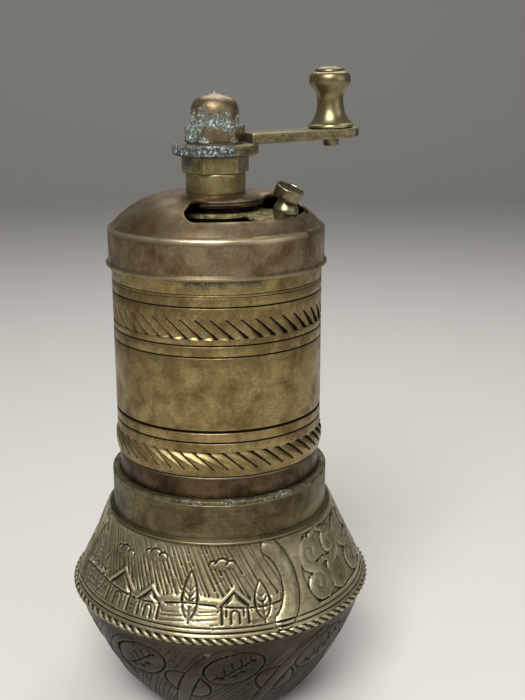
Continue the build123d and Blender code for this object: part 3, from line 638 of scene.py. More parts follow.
    def crust_mask(self, tree: bpy.types.NodeTree, at: bpy.types.NodeSocket) -> bpy.types.NodeSocket:
        """Adds the mask of the crusts, ragged at their edges.

        Args:
            tree: the material's tree.
            at: the place in millimetres.

        Returns:
            The mask's socket, 1 where the metal is hidden.
        """
        specks = add(tree, "ShaderNodeTexNoise", {"Vector": at, "W": 6.0, "Scale": 1.9, "Detail": 6.0,
                "Roughness": 0.75}, noise_dimensions="4D").outputs[0]
        mask = None
        for crust in self.crusts:
            far = add(tree, "ShaderNodeVectorMath", {0: at, 1: crust.centre},
                    operation="DISTANCE").outputs["Value"]
            near = add(tree, "ShaderNodeMapRange", {0: far, 1: crust.radius, 2: 0.3 * crust.radius,
                    3: 0.0, 4: 0.5 * crust.cover}).outputs[0]
            mask = near if mask is None else add(tree, "ShaderNodeMath", {0: mask, 1: near},
                    operation="MAXIMUM").outputs[0]
        reach = add(tree, "ShaderNodeMath", {0: specks, 1: mask}, operation="ADD").outputs[0]
        return add(tree, "ShaderNodeMapRange", {0: reach, 1: 0.74, 2: 0.86}).outputs[0]


# Spun and pressed brass that has gone grey-green; the engraving is black in its cuts and rubbed on top.
ENGRAVED_BRASS = MetalFinish(
    name="engraved_spun_brass", clean="#A89F80", tarnish="#796F54", stain="#5C5138", flush="#6B6038",
    grime_and_shade="#221A12", rubbed_and_highlight="#C2BB9B", roughness=(0.36, 0.5), blotch=12.0, stained=0.7, flushed=0.4,
    fleck=0.8, flecked=0.28, pitting=0.05, grime_and_shade_from=-0.02,
)
# The lower half is browner, and its colours are darkened as painted shade for the shade it lies in.
SHADED_BOWL_BRASS = MetalFinish(
    name="engraved_bowl_brass_painted_shade", clean="#453A2D", tarnish="#2E241B", stain="#221910", grime_and_shade="#0C0805",
    rubbed_and_highlight="#5F543F", roughness=(0.38, 0.52), blotch=16.0, fleck=0.9, pitting=0.04, metallic=0.8,
    grime_and_shade_from=0.0, crusts=(Crust((-3.3, -35.6, 28.6), 2.0, 0.7),), green="#46584F", white="#74837A",
)
# Twisted wire: every strand's crown is rubbed bright and dirt sits between the strands.
ROPE_BRASS = MetalFinish(
    name="twisted_brass_wire", clean="#8C8466", tarnish="#665C43", stain="#4F4630", grime_and_shade="#2A2116",
    rubbed_and_highlight="#B8B090", roughness=(0.34, 0.48), blotch=6.0, stained=0.7, fleck=0.5, pitting=0.01,
    grime_and_shade_from=-0.1,
)
# Turned brass under old handling grease: dull olive-brown with fine lathe lines.
COLLAR_BRASS = MetalFinish(
    name="turned_collar_brass", clean="#6C6248", tarnish="#463B28", stain="#7E7440", flush="#3A3024",
    grime_and_shade="#17120B", rubbed_and_highlight="#8E8767", roughness=(0.36, 0.5), stained=0.4, flushed=0.4, fleck=0.6,
    flecked=0.2, turning=0.8, line=0.3, pitting=0.012,
)
# The wire in the neck's mouth is worn flat and full of lime and dirt.
WIRE_BRASS = MetalFinish(
    name="worn_neck_wire_brass", clean="#777055", tarnish="#4C4430", stain="#3A3023", grime_and_shade="#17120B",
    roughness=(0.42, 0.6), blotch=2.2, stained=0.8, fleck=0.5, flecked=0.4, pitting=0.05, metallic=0.85,
    crusts=(Crust((0.0, -27.0, 61.5), 30.0, 0.42), Crust((14.0, -22.5, 62.0), 6.0, 0.62),
        Crust((2.0, -26.5, 62.2), 3.0, 0.7)), scale="#3A3A2C", green="#6C7360", white="#BDBFAE",
)
# The spigot goes in and out of the neck and holds a brown film.
SPIGOT_BRASS = MetalFinish(
    name="brown_spigot_brass", clean="#5B4C38", tarnish="#36291C", stain="#4A2A1C", flush="#6A5A38",
    grime_and_shade="#140E08", rubbed_and_highlight="#8F8468", blotch=6.0, stained=0.6, flushed=0.4, fleck=0.6, flecked=0.22,
    turning=0.45, pitting=0.012,
)
# The barrel is the yellowest part, olive with brown and green clouds.
# Its dark hollow colour also paints the shadow in the graver cuts, and its bright edge colour their highlight.
BARREL_BRASS = MetalFinish(
    name="turned_barrel_brass", clean="#97855A", tarnish="#6C5B38", stain="#615E34", flush="#88633F",
    grime_and_shade="#0F0A06", rubbed_and_highlight="#BFB084", roughness=(0.33, 0.47), blotch=6.0, stained=0.55, flushed=0.5,
    fleck=0.5, flecked=0.3, turning=0.3, line=0.4, pitting=0.02, grime_and_shade_from=0.05,
    crusts=(*crust_ring(25.0, 112.9, (-106, -68), 13, 2.7, 0.66), Crust((-12.5, -21.7, 104.4), 1.0, 0.62),
        Crust((-9.0, -23.4, 107.6), 1.2, 0.62), Crust((-3.0, -24.9, 101.4), 1.2, 0.66)), scale="#37362A",
    green="#4D5B49", white="#79816D",
)
# The lid is pressed from redder sheet and has a copper-brown skin.
LID_BRASS = MetalFinish(
    name="pressed_lid_brass", clean="#908064", tarnish="#614D36", stain="#7A4F2C", flush="#5C5C48",
    rubbed_and_highlight="#B5A98A", roughness=(0.32, 0.46), blotch=6.0, stained=0.45, flushed=0.45, fleck=0.6, flecked=0.22,
)
BUSH_BRASS = MetalFinish(
    name="turned_bush_brass", clean="#9C9068", tarnish="#786C44", stain="#5C5F45", flush="#8A6E34",
    rubbed_and_highlight="#9A9068", roughness=(0.36, 0.5), blotch=3.5, stained=0.7, flushed=0.5, fleck=0.5, turning=0.3,
    line=0.3, pitting=0.012,
)
# The ring is dark red-brown of its own, and its colours are darkened further as painted shade for the shade under
# the lid's island.
SHADED_SPACER_BRASS = MetalFinish(
    name="dark_spacer_brass_painted_shade", clean="#2C2018", tarnish="#1D140E", stain="#3A2419", rubbed_and_highlight="#4A3A2C",
    roughness=(0.36, 0.5), blotch=5.0, fleck=0.6, turning=0.5,
)
# Seed dust and oil have dried on the shutter to a rough grey-olive crust.
SHUTTER_BRASS = MetalFinish(
    name="crusted_shutter_brass", clean="#91885C", tarnish="#4A432B", stain="#A89E66", rubbed_and_highlight="#8E8A66",
    roughness=(0.6, 0.8), blotch=1.6, stained=0.8, fleck=0.4, flecked=0.5, pitting=0.15, metallic=0.4,
)
# Its bright edge colour is painted on the bulb, partly as a painted highlight.
KNOB_BRASS = MetalFinish(
    name="turned_knob_brass", clean="#80755A", tarnish="#574B38", stain="#483C2B", rubbed_and_highlight="#A0967A",
    roughness=(0.24, 0.36), blotch=4.0, fleck=0.5, pitting=0.02,
)
NUT_BRASS = MetalFinish(
    name="milled_nut_brass", clean="#9E936A", tarnish="#786C48", stain="#463C28", flush="#6B6A4A",
    rubbed_and_highlight="#978E66", roughness=(0.36, 0.5), blotch=2.6, stained=0.6, flushed=0.4, fleck=0.5, pitting=0.015,
    crusts=(Crust((-7.6, -4.0, 136.0), 4.4, 0.75),), scale="#33302C", green="#525A60", white="#7F8A92",
)
# Cast brass with a grey skin; verdigris thrives round the eye where oil and water meet.
CRANK_BRASS = MetalFinish(
    name="cast_crank_brass", clean="#867B5B", tarnish="#585140", stain="#38332A", flush="#7A5638",
    rubbed_and_highlight="#8A8468", roughness=(0.42, 0.6), blotch=3.2, stained=0.85, flushed=0.4, fleck=0.55, flecked=0.35,
    pitting=0.05, crusts=(*crust_ring(10.0, 139.2, (-190, -78), 7, 4.4, 0.86),
        Crust((14.0, 1.0, 140.6), 3.2, 0.5), Crust((21.0, 2.0, 141.0), 3.0, 0.5),
        Crust((33.0, 3.5, 142.0), 3.4, 0.5)), scale="#26292A", green="#474E4B", white="#A9AFA9",
)
CAP_BRASS = MetalFinish(
    name="turned_cap_brass", clean="#96886D", tarnish="#705F49", stain="#3E3224", flush="#6F6A4E",
    rubbed_and_highlight="#9A9078", roughness=(0.3, 0.46), blotch=4.0, stained=0.6, flushed=0.5, fleck=0.5, pitting=0.05,
    crusts=(Crust((-5.8, -3.4, 142.6), 3.6, 1.0), Crust((-2.4, -6.0, 140.8), 2.6, 0.95),
        Crust((4.6, -4.8, 140.9), 2.2, 0.7), Crust((-3.5, 4.5, 144.8), 4.0, 0.85),
        *crust_ring(5.6, 145.0, (-185, -15), 9, 2.7, 0.9),
        *crust_ring(5.5, 147.0, (-150, -60), 4, 2.6, 0.66)), scale="#3B3A33", green="#66736D",
    white="#C4C9C1",
)
# The handle turns in the hand all day, so it is the smoothest and brightest piece.
HANDLE_BRASS = MetalFinish(
    name="polished_handle_brass", clean="#9A8F69", tarnish="#7B7050", stain="#5A5136", rubbed_and_highlight="#A89F75",
    roughness=(0.27, 0.36), blotch=6.0, stained=0.4, fleck=0.6, flecked=0.12, turning=0.25, pitting=0.006,
)
RIVET_BRASS = MetalFinish(
    name="hammered_rivet_brass", clean="#776C50", tarnish="#514534", stain="#382F22", rubbed_and_highlight="#857B60",
    blotch=3.0, fleck=0.5, pitting=0.02,
)
TURNED_STEEL = MetalFinish(
    name="turned_steel", clean="#8C8A86", tarnish="#6B6862", stain="#5A4A3A", grime_and_shade="#1A1613",
    rubbed_and_highlight="#B5B3AE", roughness=(0.3, 0.45), blotch=6.0, fleck=0.5, flecked=0.1, turning=0.4, line=0.3,
    pitting=0.008,
)
BURR_IRON = MetalFinish(
    name="hardened_burr_iron", clean="#5A5754", tarnish="#454240", stain="#4E3A2C", grime_and_shade="#151311",
    rubbed_and_highlight="#8A8784", roughness=(0.42, 0.6), blotch=4.0, fleck=0.5, flecked=0.2, pitting=0.02,
)


# ---- engraving


class Relief:
    """Cut and raised lines over a band that is rolled out flat, in millimetres.

    Columns run round the piece and close on themselves, rows run up its side.
    """

    def __init__(self, girth: float, length: float, cell: float = 0.12) -> None:
        """Starts a smooth band.

        Args:
            girth: its length round.
            length: its height up the side.
            cell: spacing of its samples.
        """
        self.girth = girth
        self.length = length
        self.columns = round(girth / cell)
        self.rows = round(length / cell) + 1
        self.step = (girth / self.columns, length / (self.rows - 1))
        self.height = np.zeros((self.rows, self.columns))
        self.dice = np.random.default_rng(7)

    def line(self, points: Sequence[Point], width: float, depth: float, ends: Point = (1.0, 1.0),
            over: bool = False) -> None:
        """Cuts a line, or raises one if the depth is negative.

        Args:
            points: its route.
            width: its width.
            depth: its depth in the middle.
            ends: share of the width and depth at the first and last point.
            over: whether it follows what is already there, as a scratch does.
        """
        stretches = list(zip(points, points[1:]))
        for k, ((u0, v0), (u1, v1)) in enumerate(stretches):
            reach = width / 2 + self.step[0]
            columns = np.arange(math.floor((min(u0, u1) - reach) / self.step[0]),
                    math.ceil((max(u0, u1) + reach) / self.step[0]) + 1)
            rows = np.arange(max(0, math.floor((min(v0, v1) - reach) / self.step[1])),
                    min(self.rows, math.ceil((max(v0, v1) + reach) / self.step[1]) + 1))
            if not rows.size:
                continue
            u, v = np.meshgrid(columns * self.step[0], rows * self.step[1])
            du, dv = u1 - u0, v1 - v0
            along = np.clip(((u - u0) * du + (v - v0) * dv) / (du * du + dv * dv + 1e-9), 0, 1)
            away = np.hypot(u - u0 - along * du, v - v0 - along * dv)
            share = ends[0] + (ends[1] - ends[0]) * (k + along) / len(stretches)
            half = width / 2 * (0.4 + 0.6 * share)
            cut = depth * share * np.clip(1 - (away / half) ** 2, 0, None)
            window = np.ix_(rows, columns % self.columns)
            pick = np.minimum if depth > 0 else np.maximum
            now = self.height[window]
            self.height[window] = np.where(away < half, now - cut if over else pick(now, -cut), now)

    def sink(self, region: Callable[[float, float], bool], corner: Point, size: Point, depth: float) -> None:
        """Lowers the ground of a region, as a punch does before the raised work is left standing.

        Args:
            region: says whether a place is inside.
            corner: lowest corner of the box that holds the region.
            size: width and height of that box.
            depth: how far the ground goes down.
        """
        for j in range(max(0, round(corner[1] / self.step[1])),
                min(self.rows, round((corner[1] + size[1]) / self.step[1]))):
            for i in range(round(corner[0] / self.step[0]), round((corner[0] + size[0]) / self.step[0])):
                if region(i * self.step[0], j * self.step[1]):
                    column = i % self.columns
                    self.height[j, column] = min(self.height[j, column], -depth)

    def wear(self, count: int, longest: float, depth: float) -> None:
        """Scatters light scratches and dents of handling.

        Args:
            count: how many.
            longest: length of the longest.
            depth: depth of the deepest.
        """
        for _ in range(count):
            u, v = self.dice.uniform(0, self.girth), self.dice.uniform(0.5, self.length - 0.5)
            angle, length = self.dice.uniform(0, math.pi), self.dice.uniform(0.3, longest)
            end = (u + length * math.cos(angle), v + length * math.sin(angle))
            self.line([(u, v), end], self.dice.uniform(0.3, 0.6), depth * self.dice.uniform(0.3, 1.0),
                    (1.0, 0.4), over=True)

    def hatch(self, region: Callable[[float, float], bool], corner: Point, size: Point, angle: float,
            pitch: float, width: float = 0.5, depth: float = 0.24) -> None:
        """Fills a region with graver strokes side by side.

        Args:
            region: says whether a place is inside.
            corner: lowest corner of the box that holds the region.
            size: width and height of that box.
            angle: direction of the strokes in degrees.
            pitch: spacing of the strokes.
            width: width of a stroke.
            depth: depth of a stroke.
        """
        across = np.array([-math.sin(math.radians(angle)), math.cos(math.radians(angle))])
        middle = np.array(corner) + np.array(size) / 2
        reach = math.hypot(*size) / 2
        count = int(reach / pitch)
        for i in range(-count, count + 1):
            shift = (i + self.dice.uniform(-0.25, 0.25)) * pitch
            lean = math.radians(angle + self.dice.uniform(-3.0, 3.0))
            along = np.array([math.cos(lean), math.sin(lean)])
            run: list[Point] = []
            for t in np.arange(-reach, reach + 0.3, 0.3):
                u, v = middle + across * shift + along * t
                inside = corner[0] <= u <= corner[0] + size[0] and corner[1] <= v <= corner[1] + size[1]
                if inside and region(u, v) and self.dice.random() > 0.025:
                    run.append((u, v))
                    continue
                self.stroke(run, width, depth)
                run = []
            self.stroke(run, width, depth)

    def stroke(self, run: Sequence[Point], width: float, depth: float) -> None:
        """Cuts one graver stroke that bites in fast and runs out slowly."""
        if len(run) > 3:
            ends = (1.0, self.dice.uniform(0.3, 0.7))
            self.line((run[0], run[-1]), width * self.dice.uniform(0.85, 1.15), depth, ends)

    def sample(self, field_: np.ndarray, u: np.ndarray, v: np.ndarray) -> np.ndarray:
        """Reads a field of the band between its samples.

        Args:
            field_: the field, one value to a sample.
            u: places round.
            v: places up the side.

        Returns:
            The field's values there.
        """
        x = u / self.step[0]
        y = np.clip(v / self.step[1], 0, self.rows - 1.001)
        left, low = np.floor(x).astype(int), np.floor(y).astype(int)
        fx, fy = x - left, y - low
        right = (left + 1) % self.columns
        left = left % self.columns
        lower = field_[low, left] * (1 - fx) + field_[low, right] * fx
        upper = field_[low + 1, left] * (1 - fx) + field_[low + 1, right] * fx
        return lower * (1 - fy) + upper * fy

    def hollows(self, spread: float = 0.9) -> np.ndarray:
        """How far each place lies below the mean of what is round it, from 1 to -1."""
        blurred = self.height
        for axis, step in ((1, self.step[0]), (0, self.step[1])):
            reach = max(1, round(spread / step / 2))
            blurred = sum(np.roll(blurred, k, axis) for k in range(-reach, reach + 1)) / (2 * reach + 1)
        return np.clip((blurred - self.height) / 0.2, -1, 1)


def spiral(centre: Point, size: float, start: float, turns: float, mirror: bool = False,
        count: int = 22) -> list[Point]:
    """Points of a scroll that winds inwards.

    Args:
        centre: the eye of the scroll.
        size: its outer radius.
        start: angle of its outer end in degrees.
        turns: how many times it winds.
        mirror: whether it winds the other way.
        count: number of stretches.

    Returns:
        The points from the outside in.
    """
    hand = -1 if mirror else 1
    points = []
    for i in range(count + 1):
        t = i / count
        angle = math.radians(start) + hand * 2 * math.pi * turns * t
        radius = size * (1 - 0.82 * t)
        points.append((centre[0] + radius * math.cos(angle), centre[1] + radius * math.sin(angle)))
    return points


def in_polygon(corners: Sequence[Point]) -> Callable[[float, float], bool]:
    """Makes a test that says whether a place is inside a polygon."""

    def inside(u: float, v: float) -> bool:
        """Counts the sides that lie to the right of the place."""
        odd = False
        for (u0, v0), (u1, v1) in zip(corners, list(corners[1:]) + [corners[0]]):
            if (v0 > v) != (v1 > v) and u < (u1 - u0) * (v - v0) / (v1 - v0) + u0:
                odd = not odd
        return odd

    return inside


# ---- receptacle


@dataclass
class Receptacle:
    """The engraved container with its rope bead and the plain neck.

    Attributes:
        foot_radius: of the flat that it stands on.
        sheet: wall of the spun halves.
        steps: stretches round an engraved half.
        rows: rows up an engraved side.
        flange_height: of the collar's flange.
        wall: of the neck.
        rope_turns: full turns of the two twisted strands round the rim.
        bowl, shoulder, rope, neck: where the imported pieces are.
    """

    foot_radius: float = 17.3
    sheet: float = 1.0
    steps: int = 864
    rows: int = 92
    flange_height: float = 0.5
    wall: float = 1.85
    rope_turns: int = 49
    bowl: Extent = field(default_factory=lambda: extent("bowl"))
    shoulder: Extent = field(default_factory=lambda: extent("shoulder"))
    rope: Extent = field(default_factory=lambda: extent("rope_rim"))
    neck: Extent = field(default_factory=lambda: extent("neck_collar"))

    def make(self) -> None:
        """Builds all the pieces of the receptacle."""
        self.make_bowl()
        self.make_shoulder()
        self.make_rope()
        self.make_collar()
        self.make_wire()

    def engrave(self, bm: bmesh.types.BMesh, side: Sequence[Point], relief: Relief) -> np.ndarray:
        """Presses a relief into the outer side of a turned half.

        Args:
            bm: the half.
            side: its outer profile from the lower end to the upper.
            relief: the lines, rolled out.

        Returns:
            How hollow each vertex lies.
        """
        side_r = np.array([p[0] for p in side])
        side_z = np.array([p[1] for p in side])
        length = np.concatenate([[0], np.cumsum(np.hypot(np.diff(side_r), np.diff(side_z)))])
        slope_r, slope_z = np.gradient(side_r, length), np.gradient(side_z, length)
        co = np.array([v.co for v in bm.verts]) / MM
        radius, height = np.hypot(co[:, 0], co[:, 1]), co[:, 2]
        outer = np.abs(radius - np.interp(height, side_z, side_r)) < 0.02
        azimuth = np.degrees(np.arctan2(co[:, 1], co[:, 0])) + 180.0
        u = azimuth / 360.0 * relief.girth
        v = np.interp(height, side_z, length)
        push = relief.sample(relief.height, u, v)
        hollow = np.where(outer, relief.sample(relief.hollows(), u, v), 0.0)
        edge = np.minimum(v, length[-1] - v)
        push = np.where(outer, push * np.clip(edge / 0.4, 0, 1), 0.0)
        out_r = np.interp(height, side_z, slope_z)
        out_z = -np.interp(height, side_z, slope_r)
        for i, vert in enumerate(bm.verts):
            if push[i]:
                scale = (radius[i] + push[i] * out_r[i]) / radius[i]
                vert.co = Vector((co[i, 0] * scale, co[i, 1] * scale, height[i] + push[i] * out_z[i])) * MM
        return hollow

    def make_bowl(self) -> None:
        """Spins the lower half and engraves leaves and ribbons on it."""
        rim, top = self.bowl.reach, self.bowl.top
        side = bezier((self.foot_radius, 0), (self.foot_radius + 6.7, 5.0), (rim - 6.0, top - 16.7),
                (rim, top), self.rows)
        inner = bezier((rim - 1.1 * self.sheet, top), (rim - 6.9, top - 16.2), (self.foot_radius + 6.0, 5.8),
                (self.foot_radius - 0.2, self.sheet), 20)
        bm = turned([(0.0, 0.0)] + side + inner + [(0.0, self.sheet)], self.steps, closed=False)
        relief = Relief(2 * math.pi * 28.0, 39.0)
        self.draw_bowl(relief)
        hollow = self.engrave(bm, side, relief)
        finished(bm, "bowl", SHADED_BOWL_BRASS, hollow)

    def draw_bowl(self, relief: Relief) -> None:
        """Lays out the bowl's ribbons and hatched leaves.

        Args:
            relief: the bowl's side, rolled out.
        """
        count = 9
        pitch = relief.girth / count
        top = relief.length - 2.9
        for i in range(count):
            start = i * pitch
            box = ((start, 4.6), (pitch, top - 5.2))
            relief.hatch(lambda u, v: True, *box, 62 if i % 2 else 50, 1.15, 0.5, 0.18)
        for i in range(count):
            start = i * pitch
            for centre, size, lean in (((start + 0.36 * pitch, top - 7.6), (0.3 * pitch, 6.0), 0.25),
                    ((start + 0.86 * pitch, top - 14.5), (0.24 * pitch, 5.4), -0.3)):
                leaf = [(u + lean * (v - centre[1]), v) for u, v in arc(centre, size, 20, 380, 28)]
                fill = arc(centre, (0.55 * size[0], 0.5 * size[1]), 0, 360, 14)
                relief.line([(u + lean * (v - centre[1]), v) for u, v in fill], 1.1 * size[0], -0.2)
                relief.line(leaf, 0.8, 0.26)
                vein = bezier((centre[0] - 0.7 * size[0], centre[1] - 0.6 * size[1]),
                        (centre[0] - 0.2 * size[0], centre[1] - 0.4 * size[1]),
                        (centre[0] + 0.2 * size[0], centre[1] + 0.2 * size[1]),
                        (centre[0] + 0.7 * size[0], centre[1] + 0.6 * size[1]), 10)
                relief.line(vein, 0.55, 0.2)
                for k in range(1, 6):
                    at, up = vein[2 * k - 1], vein[2 * k]
                    reach = 0.42 * size[0] * math.sin(math.pi * k / 6)
                    relief.line([at, (at[0] - 0.2 * reach, up[1] + reach)], 0.4, 0.16, (1.0, 0.4))
                    relief.line([at, (at[0] + reach, up[1] - 0.5 * reach)], 0.4, 0.16, (1.0, 0.4))
            ribbon = bezier((start + 0.45 * pitch, 5.0), (start + 0.8 * pitch, 9.0),
                    (start + 0.75 * pitch, top - 8.0), (start + 1.3 * pitch, top - 1.6), 24)
            relief.line(ribbon, 4.2, 0.28)
            relief.line(ribbon, 3.0, -0.3)
        for height in (relief.length - 1.9, 3.8):
            relief.line([(relief.girth * i / 80, height) for i in range(81)], 0.55, 0.26)
        relief.wear(420, 2.4, 0.1)

    def make_shoulder(self) -> None:
        """Spins the upper half and engraves the panels and scrolls on it."""
        foot, top, rim = self.shoulder.foot, self.shoulder.top, self.shoulder.reach
        neck = self.neck.reach + 0.59
        ledge = extent("spigot_sleeve").reach - 1.8
        side = bezier((rim, foot), (rim - 2.6, foot + 4.5), (neck + 2.5, top - 7.4), (neck, top), self.rows)
        inner = bezier((neck - 0.8 * self.sheet, top - self.sheet), (neck + 1.6, top - 7.9),
                (rim - 3.5, foot + 4.0), (rim - 1.2 * self.sheet, foot), 10)
        profile = side + [(ledge, top), (ledge, top - self.sheet)] + inner
        bm = turned(profile, self.steps)
        relief = Relief(2 * math.pi * 32.6, 20.3)
        self.draw_shoulder(relief)
        hollow = self.engrave(bm, side, relief)
        finished(bm, "shoulder", ENGRAVED_BRASS, hollow)

    def draw_shoulder(self, relief: Relief) -> None:
        """Lays out the shoulder: two pictorial panels between ribs, two fields of scrolls.

        Args:
            relief: the shoulder's side, rolled out.
        """
        half = relief.girth / 2
        for start in (0.022 * relief.girth, 0.022 * relief.girth + half):
            self.draw_panel(relief, start, 0.62 * half)
            self.draw_scrolls(relief, start + 0.66 * half, 0.325 * half)
        for height, width in ((0.9, 0.55), (2.0, 0.4)):
            relief.line([(relief.girth * i / 80, height) for i in range(81)], width, 0.24)
        relief.wear(420, 2.4, 0.1)

    def draw_panel(self, relief: Relief, start: float, width: float) -> None:
        """Engraves one panel: hills, trees and houses under a hatched sky.

        Args:
            relief: the shoulder's side.
            start: where the panel starts, round the piece.
            width: its length round.
        """
        motifs = []
        houses = ((0.33, 3.4, 4.4), (0.47, 2.5, 3.5), (0.78, 2.9, 3.9))
        trees = ((0.12, 4.0, 15.5), (0.21, 4.6, 12.6), (0.62, 5.0, 14.6), (0.88, 4.4, 12.0))
        for place, wall, height in houses:
            middle, roof = start + place * width, 3.0 + height
            motifs.append(in_polygon([(middle - wall - 0.5, 2.6), (middle - wall - 0.9, roof),
                    (middle, roof + wall + 0.6), (middle + wall + 0.9, roof), (middle + wall + 0.5, 2.6)]))
        for place, foot, top in trees:
            tree = start + place * width
            motifs.append(in_polygon([(tree - 2.4, foot), (tree - 2.0, top - 4), (tree, top + 0.6),
                    (tree + 2.0, top - 4), (tree + 2.4, foot)]))
        hill = bezier((start + 2, 6.4), (start + 0.2 * width, 10.6), (start + 0.4 * width, 4.4),
                (start + 0.56 * width, 8.2), 18)
        shore = bezier((start + 0.5 * width, 7.0), (start + 0.66 * width, 10.4), (start + 0.8 * width, 5.0),
                (start + 0.97 * width, 7.6), 18)

        def below(route: Sequence[Point], u: float) -> float:
            """Height of a hill's line at a place round the piece."""
            return float(np.interp(u, [q[0] for q in route], [q[1] for q in route], left=7.0, right=7.0))

        def sky(u: float, v: float) -> bool:
            """Says whether a place is open sky."""
            edge = 5.2 * math.cos((v - 10.4) / 9.5)
            ground = max(below(hill, u), below(shore, u)) + 0.5
            inside = start + 5.6 - edge < u < start + width - 5.6 + edge
            return inside and v > ground and not any(m(u, v) for m in motifs)

        def field_(u: float, v: float) -> bool:
            """Says whether a place is on the ground below the hills."""
            inside = start + 3.0 < u < start + width - 3.0
            return inside and 2.6 < v < min(below(hill, u), below(shore, u)) - 0.9 and not any(
                m(u, v) for m in motifs)

        relief.hatch(sky, (start + 0.6, 6.0), (width - 1.2, 14.2), 118, 1.05, 0.62, 0.25)
        relief.hatch(field_, (start + 3.0, 2.6), (width - 6.0, 7.0), 3, 1.1, 0.45, 0.17)
        for route in (hill, shore):
            relief.line([(u, v + 0.1) for u, v in route], 2.0, -0.24)
            relief.line([(u, v - 0.8) for u, v in route], 0.6, 0.26)
        for place, wall, height in houses:
            self.draw_house(relief, start + place * width, 3.0, wall, height)
        for place, foot, top in trees:
            self.draw_tree(relief, start + place * width, foot, top)
        for place, high in ((0.3, 15.4), (0.46, 17.0), (0.74, 16.2)):
            self.draw_cloud(relief, start + place * width, high)
        for side, hand in ((start, -1), (start + width, 1)):
            rib = arc((side - hand * 7.0, 10.2), (7.0, 9.6), 66 if hand > 0 else 114,
                    -60 if hand > 0 else 240, 24)
            relief.line(rib, 5.8, 0.42)
            relief.line(rib, 3.9, -0.38)

    def draw_house(self, relief: Relief, middle: float, foot: float, wall: float, height: float) -> None:
        """Engraves a small gabled house with an arched door.

        Args:
            relief: the shoulder's side.
            middle: its place round the piece.
            foot: where it stands.
            wall: half of its width.
            height: of its walls.
        """
        roof = foot + height
        relief.line([(middle - wall, foot), (middle - wall, roof), (middle, roof + wall),
                (middle + wall, roof), (middle + wall, foot)], 0.8, 0.3)
        eaves = [(middle - wall - 0.9, roof + 0.1), (middle, roof + wall + 0.9),
                (middle + wall + 0.9, roof + 0.1)]
        relief.line(eaves, 1.0, -0.26)
        relief.line([(u, v - 1.5) for u, v in eaves], 0.5, 0.2)
        half = 0.32 * wall
        door = [(middle - half, foot)] + arc((middle, foot + 0.45 * height), (half, 1.1), 180, 0, 8)
        relief.line(door + [(middle + half, foot)], 0.6, 0.28)
        for side in (-0.66, 0.66):
            relief.line([(middle + side * wall, foot + 0.4 * height),
                    (middle + side * wall, foot + 0.75 * height)], 0.5, 0.3)

    def draw_tree(self, relief: Relief, middle: float, foot: float, top: float) -> None:
        """Engraves a slim tree: an outline drawn to a point, filled with short strokes."""
        left = bezier((middle, foot - 1.4), (middle - 3.0, foot + 1.5), (middle - 1.6, top - 2),
                (middle, top), 12)
        right = [(2 * middle - u, v) for u, v in left]
        relief.line(left, 0.7, 0.28)
        relief.line(right, 0.7, 0.28)
        relief.line([(middle, foot - 2.0), (middle, top - 2.4)], 0.5, 0.28, (1.0, 0.4))
        for i in range(int((top - foot - 2) / 1.3)):
            height = foot + 1.3 * i
            for side in (-1, 1):
                relief.line([(middle, height), (middle + side * 1.2, height + 1.1)], 0.45, 0.26, (1.0, 0.5))

    def draw_cloud(self, relief: Relief, middle: float, height: float) -> None:
        """Leaves a small scalloped cloud standing in the sky."""
        for shift, size in ((-2.2, 1.0), (0.0, 1.5), (2.2, 1.0)):
            relief.line(arc((middle + shift, height), (0.4 * size, 0.3 * size), 0, 360, 10), 1.5 * size,
                    -0.12)
            relief.line(arc((middle + shift, height - 0.3), (1.25 * size, 1.1 * size), 15, 165, 10), 0.5, 0.3)

    def draw_scrolls(self, relief: Relief, start: float, width: float) -> None:
        """Leaves a row of S scrolls standing on a sunk and hatched ground.

        Args:
            relief: the shoulder's side.
            start: where the field starts, round the piece.
            width: its length round.
        """

        def ground(u: float, v: float) -> bool:
            """Says whether a place is inside the field's round-ended frame."""
            edge = 2.6 * (abs(v - 10.6) / 8.2) ** 2
            return start + edge < u < start + width - edge and 3.0 < v < 19.4

        box = ((start, 3.0), (width, 16.6))
        relief.sink(ground, *box, 0.32)
        relief.hatch(ground, *box, 62, 0.95, 0.45, 0.42)
        columns = 4
        pitch = width / columns
        for k in range(columns):
            middle = start + pitch * (k + 0.5)
            mirror = k % 2 == 0
            upper = spiral((middle, 14.7), 3.5, -90, 1.3, mirror=mirror)
            lower = spiral((middle, 7.1), 3.7, 90, 1.3, mirror=mirror)
            for route in (upper, lower):
                relief.line(route, 2.7, -0.24, (1.0, 0.8))
                relief.line(arc(route[-1], (0.25, 0.25), 0, 360, 8), 1.7, -0.2)
            side = 1 if mirror else -1
            for height, reach in ((10.9, 3.0), (3.9, 2.2), (18.2, 2.2)):
                leaf = [(middle + side * 1.4, height), (middle + side * (1.4 + reach), height + 0.9)]
                relief.line(leaf, 1.5, -0.12, (1.0, 0.3))

